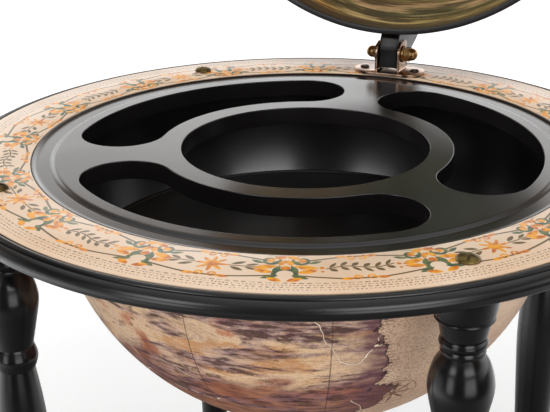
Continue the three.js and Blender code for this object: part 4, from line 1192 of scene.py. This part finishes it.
settle(shade(nut, 40), hinge_place, "stand", hinge_brass, "aged_brass", "hinge_dome_nut")

# %% [markdown]
# The arm is a folded channel. Its side view is cut out as a slab, the faces below and behind are taken
# off, the folds between web and sides are rounded, and the surface is given the thickness of the sheet.
# A last small bevel breaks the cut edges.

# %% Hinge arm
def channel(piece, open_side, sheet, fold):
    """Opens a slab on the sides that pass the test, rounds its folds and thickens it inwards."""
    pick(piece)
    bpy.ops.object.mode_set(mode="EDIT")
    select_where(piece, "FACE", open_side)
    bpy.ops.mesh.delete(type="FACE")
    select_where(piece, "EDGE", lambda middle, edge: edge.is_manifold and edge.calc_face_angle() > 1.2
                 and keeps_x(edge))
    bpy.ops.mesh.bevel(offset=fold * MM, segments=5, affect="EDGES")
    bpy.ops.object.mode_set(mode="OBJECT")
    modify(piece, "SOLIDIFY", thickness=sheet * MM, offset=-1, use_even_offset=True)
    return soften(piece, 0.22, angle=60)


pad_centre, pad_radius = (-8.4, 187.28), 168.1
arm_half = 7.5
pad = arc(pad_centre, pad_radius, -84, -61.5, 24)
front = rounded([(-6.4, -10.1), (-6.4, 5.2), (-3.2, 14.2), (4.5, 19.2), pad[3]], 2.6, 6)
sole = smooth_line([pad[-1], (67, 15.8), (50.3, 3.3), (29.9, -3.9), (12, -12.2)], 4)
arm_line = [*front, *pad[4:], *sole[1:], *arc((0, 0), 12.2, -90, -121.6, 6)]
arm = slab("folded_hinge_arm", [(-arm_half, y, z) for y, z in arm_line], (2 * arm_half, 0, 0))


def below_or_behind(middle, face):
    """The sole, the heel and the end of the pad."""
    flat = abs(face.normal.x) < 0.5
    behind = middle.y > 67 and face.normal.y > 0.6
    return flat and (face.normal.z < -0.05 and middle.y > -6.3 or behind)


channel(arm, below_or_behind, sheet=1.8, fold=1.5)
settle(shade(arm, 40), hinge_place, "lid", black_steel, "dark_steel", "hinge_arm")

rivet = turn("arm_rivet", [
    (0, 165.2), (2, 165.2), (2, 170.2), (4, 170.2), (3.7, 170.9), (2.4, 171.6), (0, 171.8),
], 32)
for place, degrees in (("lower", 20), ("upper", 27)):
    piece = copy_of(rivet, "arm_rivet_domed_" + place)
    turned = Matrix.Rotation(math.radians(degrees - 90), 4, "X")
    settle(shade(piece, 50), lid_place @ turned, "lid", dark_steel, "dark_steel", "arm_rivet_" + place)
bpy.data.objects.remove(rivet)

# %% [markdown]
# The legs are turned on a lathe from one blank each: a collar under the board, a neck with a ring, a
# vase, a long waist, a second swelling and a block that takes the stretcher. Smooth lines run through
# measured points, and each section starts with a crisp edge, as a turner cuts it.

# %% Legs
def turned_wood(name, sections, radius, high, length, steps=72):
    """A spindle from the top down. Points are shares of the radius and of the length."""
    outline = [(0, high)]
    for section in sections:
        line = smooth_line(section, 5) if len(section) > 2 else section
        outline += [(radius * r, high - length * share) for r, share in line]
    return turn(name, [*outline, (0, high - length)], steps)


leg = turned_wood("turned_leg", [
    [(0.96, 0), (0.99, 0.0015), (0.99, 0.008), (0.94, 0.0175), (0.88, 0.0245)],
    [(0.87, 0.0248), (0.9, 0.0262), (0.86, 0.0276)],
    [(0.79, 0.0279), (0.74, 0.034), (0.69, 0.0405)],
    [(0.64, 0.0412), (0.64, 0.042)],
    [(0.67, 0.0422), (0.73, 0.0462), (0.67, 0.05)],
    [(0.63, 0.0503), (0.68, 0.0528), (0.66, 0.0552)],
    [(0.62, 0.0556), (0.84, 0.064), (0.98, 0.0765), (0.99, 0.087), (0.84, 0.106), (0.66, 0.127)],
    [(0.7, 0.129), (0.79, 0.138), (0.7, 0.147)],
    [(0.64, 0.149), (0.84, 0.19), (0.93, 0.24), (0.78, 0.33), (0.64, 0.41), (0.6, 0.48), (0.64, 0.56),
     (0.79, 0.65), (0.91, 0.73), (0.8, 0.775), (0.62, 0.805)],
    [(0.7, 0.807), (0.86, 0.822), (0.94, 0.838)],
    [(0.99, 0.84), (1, 0.844), (1, 0.93), (0.97, 0.936)],
    [(0.9, 0.938), (0.72, 0.952), (0.84, 0.963)],
    [(0.9, 0.965), (0.92, 0.98), (0.8, 1)],
], radius=17.5, high=753, length=703)
at_corners(shade(leg, 28), "turned_leg_", out_to_leg, gloss_lacquer, "black_lacquered_wood", "leg_")

# %% [markdown]
# Four turned rails tie the legs to a round hub near the floor, and a finial stands on the hub. A rail is
# turned upright like a leg, with a thinner tenon at each end, and then laid flat at its height.

# %% Stretchers, hub and finial
rail_radius, rail_length, rail_height = 11, 161.1, 128
tenon, shoulder, far_shoulder = 5 / rail_radius, 9.3 / rail_length, 151.8 / rail_length
stretcher = turned_wood("turned_stretcher", [
    [(tenon, 0), (tenon, shoulder)],
    [(0.7, shoulder), (0.98, 0.075), (0.98, 0.088), (0.74, 0.115)],
    [(0.68, 0.12), (0.8, 0.25), (1, 0.5), (0.8, 0.75), (0.68, 0.88)],
    [(0.74, 0.885), (0.98, 0.912), (0.98, 0.925), (0.7, far_shoulder)],
    [(tenon, far_shoulder), (tenon, 1)],
], radius=rail_radius, high=186.1, length=rail_length, steps=48)
laid_flat = Matrix.Translation(Vector((0, 0, rail_height)) * MM) @ Matrix.Rotation(math.pi / 2, 4, "X")
at_corners(shade(stretcher, 28), "turned_stretcher_", laid_flat, gloss_lacquer, "black_lacquered_wood",
           "stretcher_")

hub = turned_wood("turned_hub", [
    [(0.6, 0), (0.62, 0.02)],
    [(0.62, 0.02), (0.8, 0.06), (0.88, 0.12)],
    [(0.97, 0.14), (1, 0.2), (1, 0.75), (0.97, 0.82)],
    [(0.88, 0.84), (0.8, 0.94), (0.6, 1)],
], radius=34, high=143, length=30, steps=96)
settle(shade(hub, 28), ring_place, "stand", gloss_lacquer, "black_lacquered_wood", "stretcher_hub")
block_end, finial_tenon = 104 / 116.3, 5 / 18
finial = turned_wood("turned_finial", [
    [(0.02, 0), (0.3, 0.012), (0.55, 0.06), (0.6, 0.13), (0.5, 0.18), (0.32, 0.21)],
    [(0.44, 0.213), (0.44, 0.232)],
    [(0.32, 0.236), (0.45, 0.29), (0.85, 0.38), (1, 0.47), (0.92, 0.55), (0.58, 0.62), (0.34, 0.68)],
    [(0.52, 0.685), (0.52, 0.7)],
    [(0.36, 0.705), (0.36, 0.74), (0.6, 0.775), (0.9, 0.79)],
    [(0.94, 0.8), (0.94, block_end - 0.01), (0.9, block_end)],
    [(finial_tenon, block_end), (finial_tenon, 1)],
], radius=18, high=235.3, length=104.3)
settle(shade(finial, 28), ring_place, "stand", gloss_lacquer, "black_lacquered_wood", "finial")

# %% [markdown]
# Casters. A stem with a flange goes up into the leg, a fork folded from brass sheet swivels on it, and a
# rubber wheel runs on a riveted axle. They trail to the back, as after a push to the front.

# %% Casters
caster_stem = turn("caster_stem", [
    (0, 77.7), (3.2, 77.7), (4, 76.8), (4, 49.7), (11.4, 49.7), (12, 49.2), (12, 48.2), (11.4, 47.7),
    (3.5, 47.7), (3.5, 44.6), (6, 44.6), (6, 43), (5.4, 42.6), (0, 42.6),
], 48)
trail, axle_height = 14, 19.616
fork_half = 11.6
cheek = [
    (-12, 44.9), (-12, 47.4), (20.5, 47.4),
    *arc((trail, axle_height), 6.5, 0, -180, 20),
    *smooth_line([(7.5, 19.6), (4.6, 30), (-4, 40), (-12, 44.9)], 5)[1:],
]
fork = slab("caster_fork", [(-fork_half, y, z) for y, z in cheek], (2 * fork_half, 0, 0))
channel(fork, lambda middle, face: abs(face.normal.x) < 0.5 and face.normal.z < 0.5, sheet=2.5, fold=2)
axle = turn("caster_axle", [
    (0, -13.4), (2.6, -13.4), (4.1, -12.8), (4.5, -11.9), (3, -11.9),
    (3, 11.9), (4.5, 11.9), (4.1, 12.8), (2.6, 13.4), (0, 13.4),
], 40, "X")
wheel = turn("caster_wheel", [
    (3.3, -8.5), (7.6, -8.5), (8, -8.2), (8.7, -7.5), (15.4, -7.3), (16, -7.5), (17.5, -7.5),
    *arc((15.3, -3.4), 4.2, -72, -20, 5),
    (19.6, 0),
    *arc((15.3, 3.4), 4.2, 20, 72, 5),
    (17.5, 7.5), (16, 7.5), (15.4, 7.3), (8.7, 7.5), (8, 8.2), (7.6, 8.5), (3.3, 8.5), (3.3, -8.5),
], 72, "X")
to_axle = Matrix.Translation(Vector((0, trail, axle_height)) * MM)
brass, tyre = (caster_brass, "aged_brass"), (rubber, "black_rubber")
for i, corner in enumerate(CORNERS):
    below_leg = Matrix.Translation(on_circle(i) @ Vector((0, -screw_circle * MM, 0)))
    at_axle = below_leg @ to_axle
    for piece, name, place, body, finish, node in (
        (caster_stem, "brass_caster_stem_", below_leg, "stand", brass, "caster_stem_"),
        (fork, "brass_caster_fork_", below_leg, "fork_" + corner, brass, "caster_fork_"),
        (axle, "riveted_axle_", at_axle, "fork_" + corner, brass, "caster_axle_"),
        (wheel, "rubber_wheel_", at_axle, "wheel_" + corner, tyre, "caster_wheel_"),
    ):
        settle(shade(copy_of(piece, name + corner), 40), place, body, *finish, node + corner)
for piece in (caster_stem, fork, axle, wheel):
    bpy.data.objects.remove(piece)

# %% [markdown]
# Last, a closing line is printed. The frame hides what the new pieces replace, as each piece settles.

# %% Finish
print("The bar is dressed")
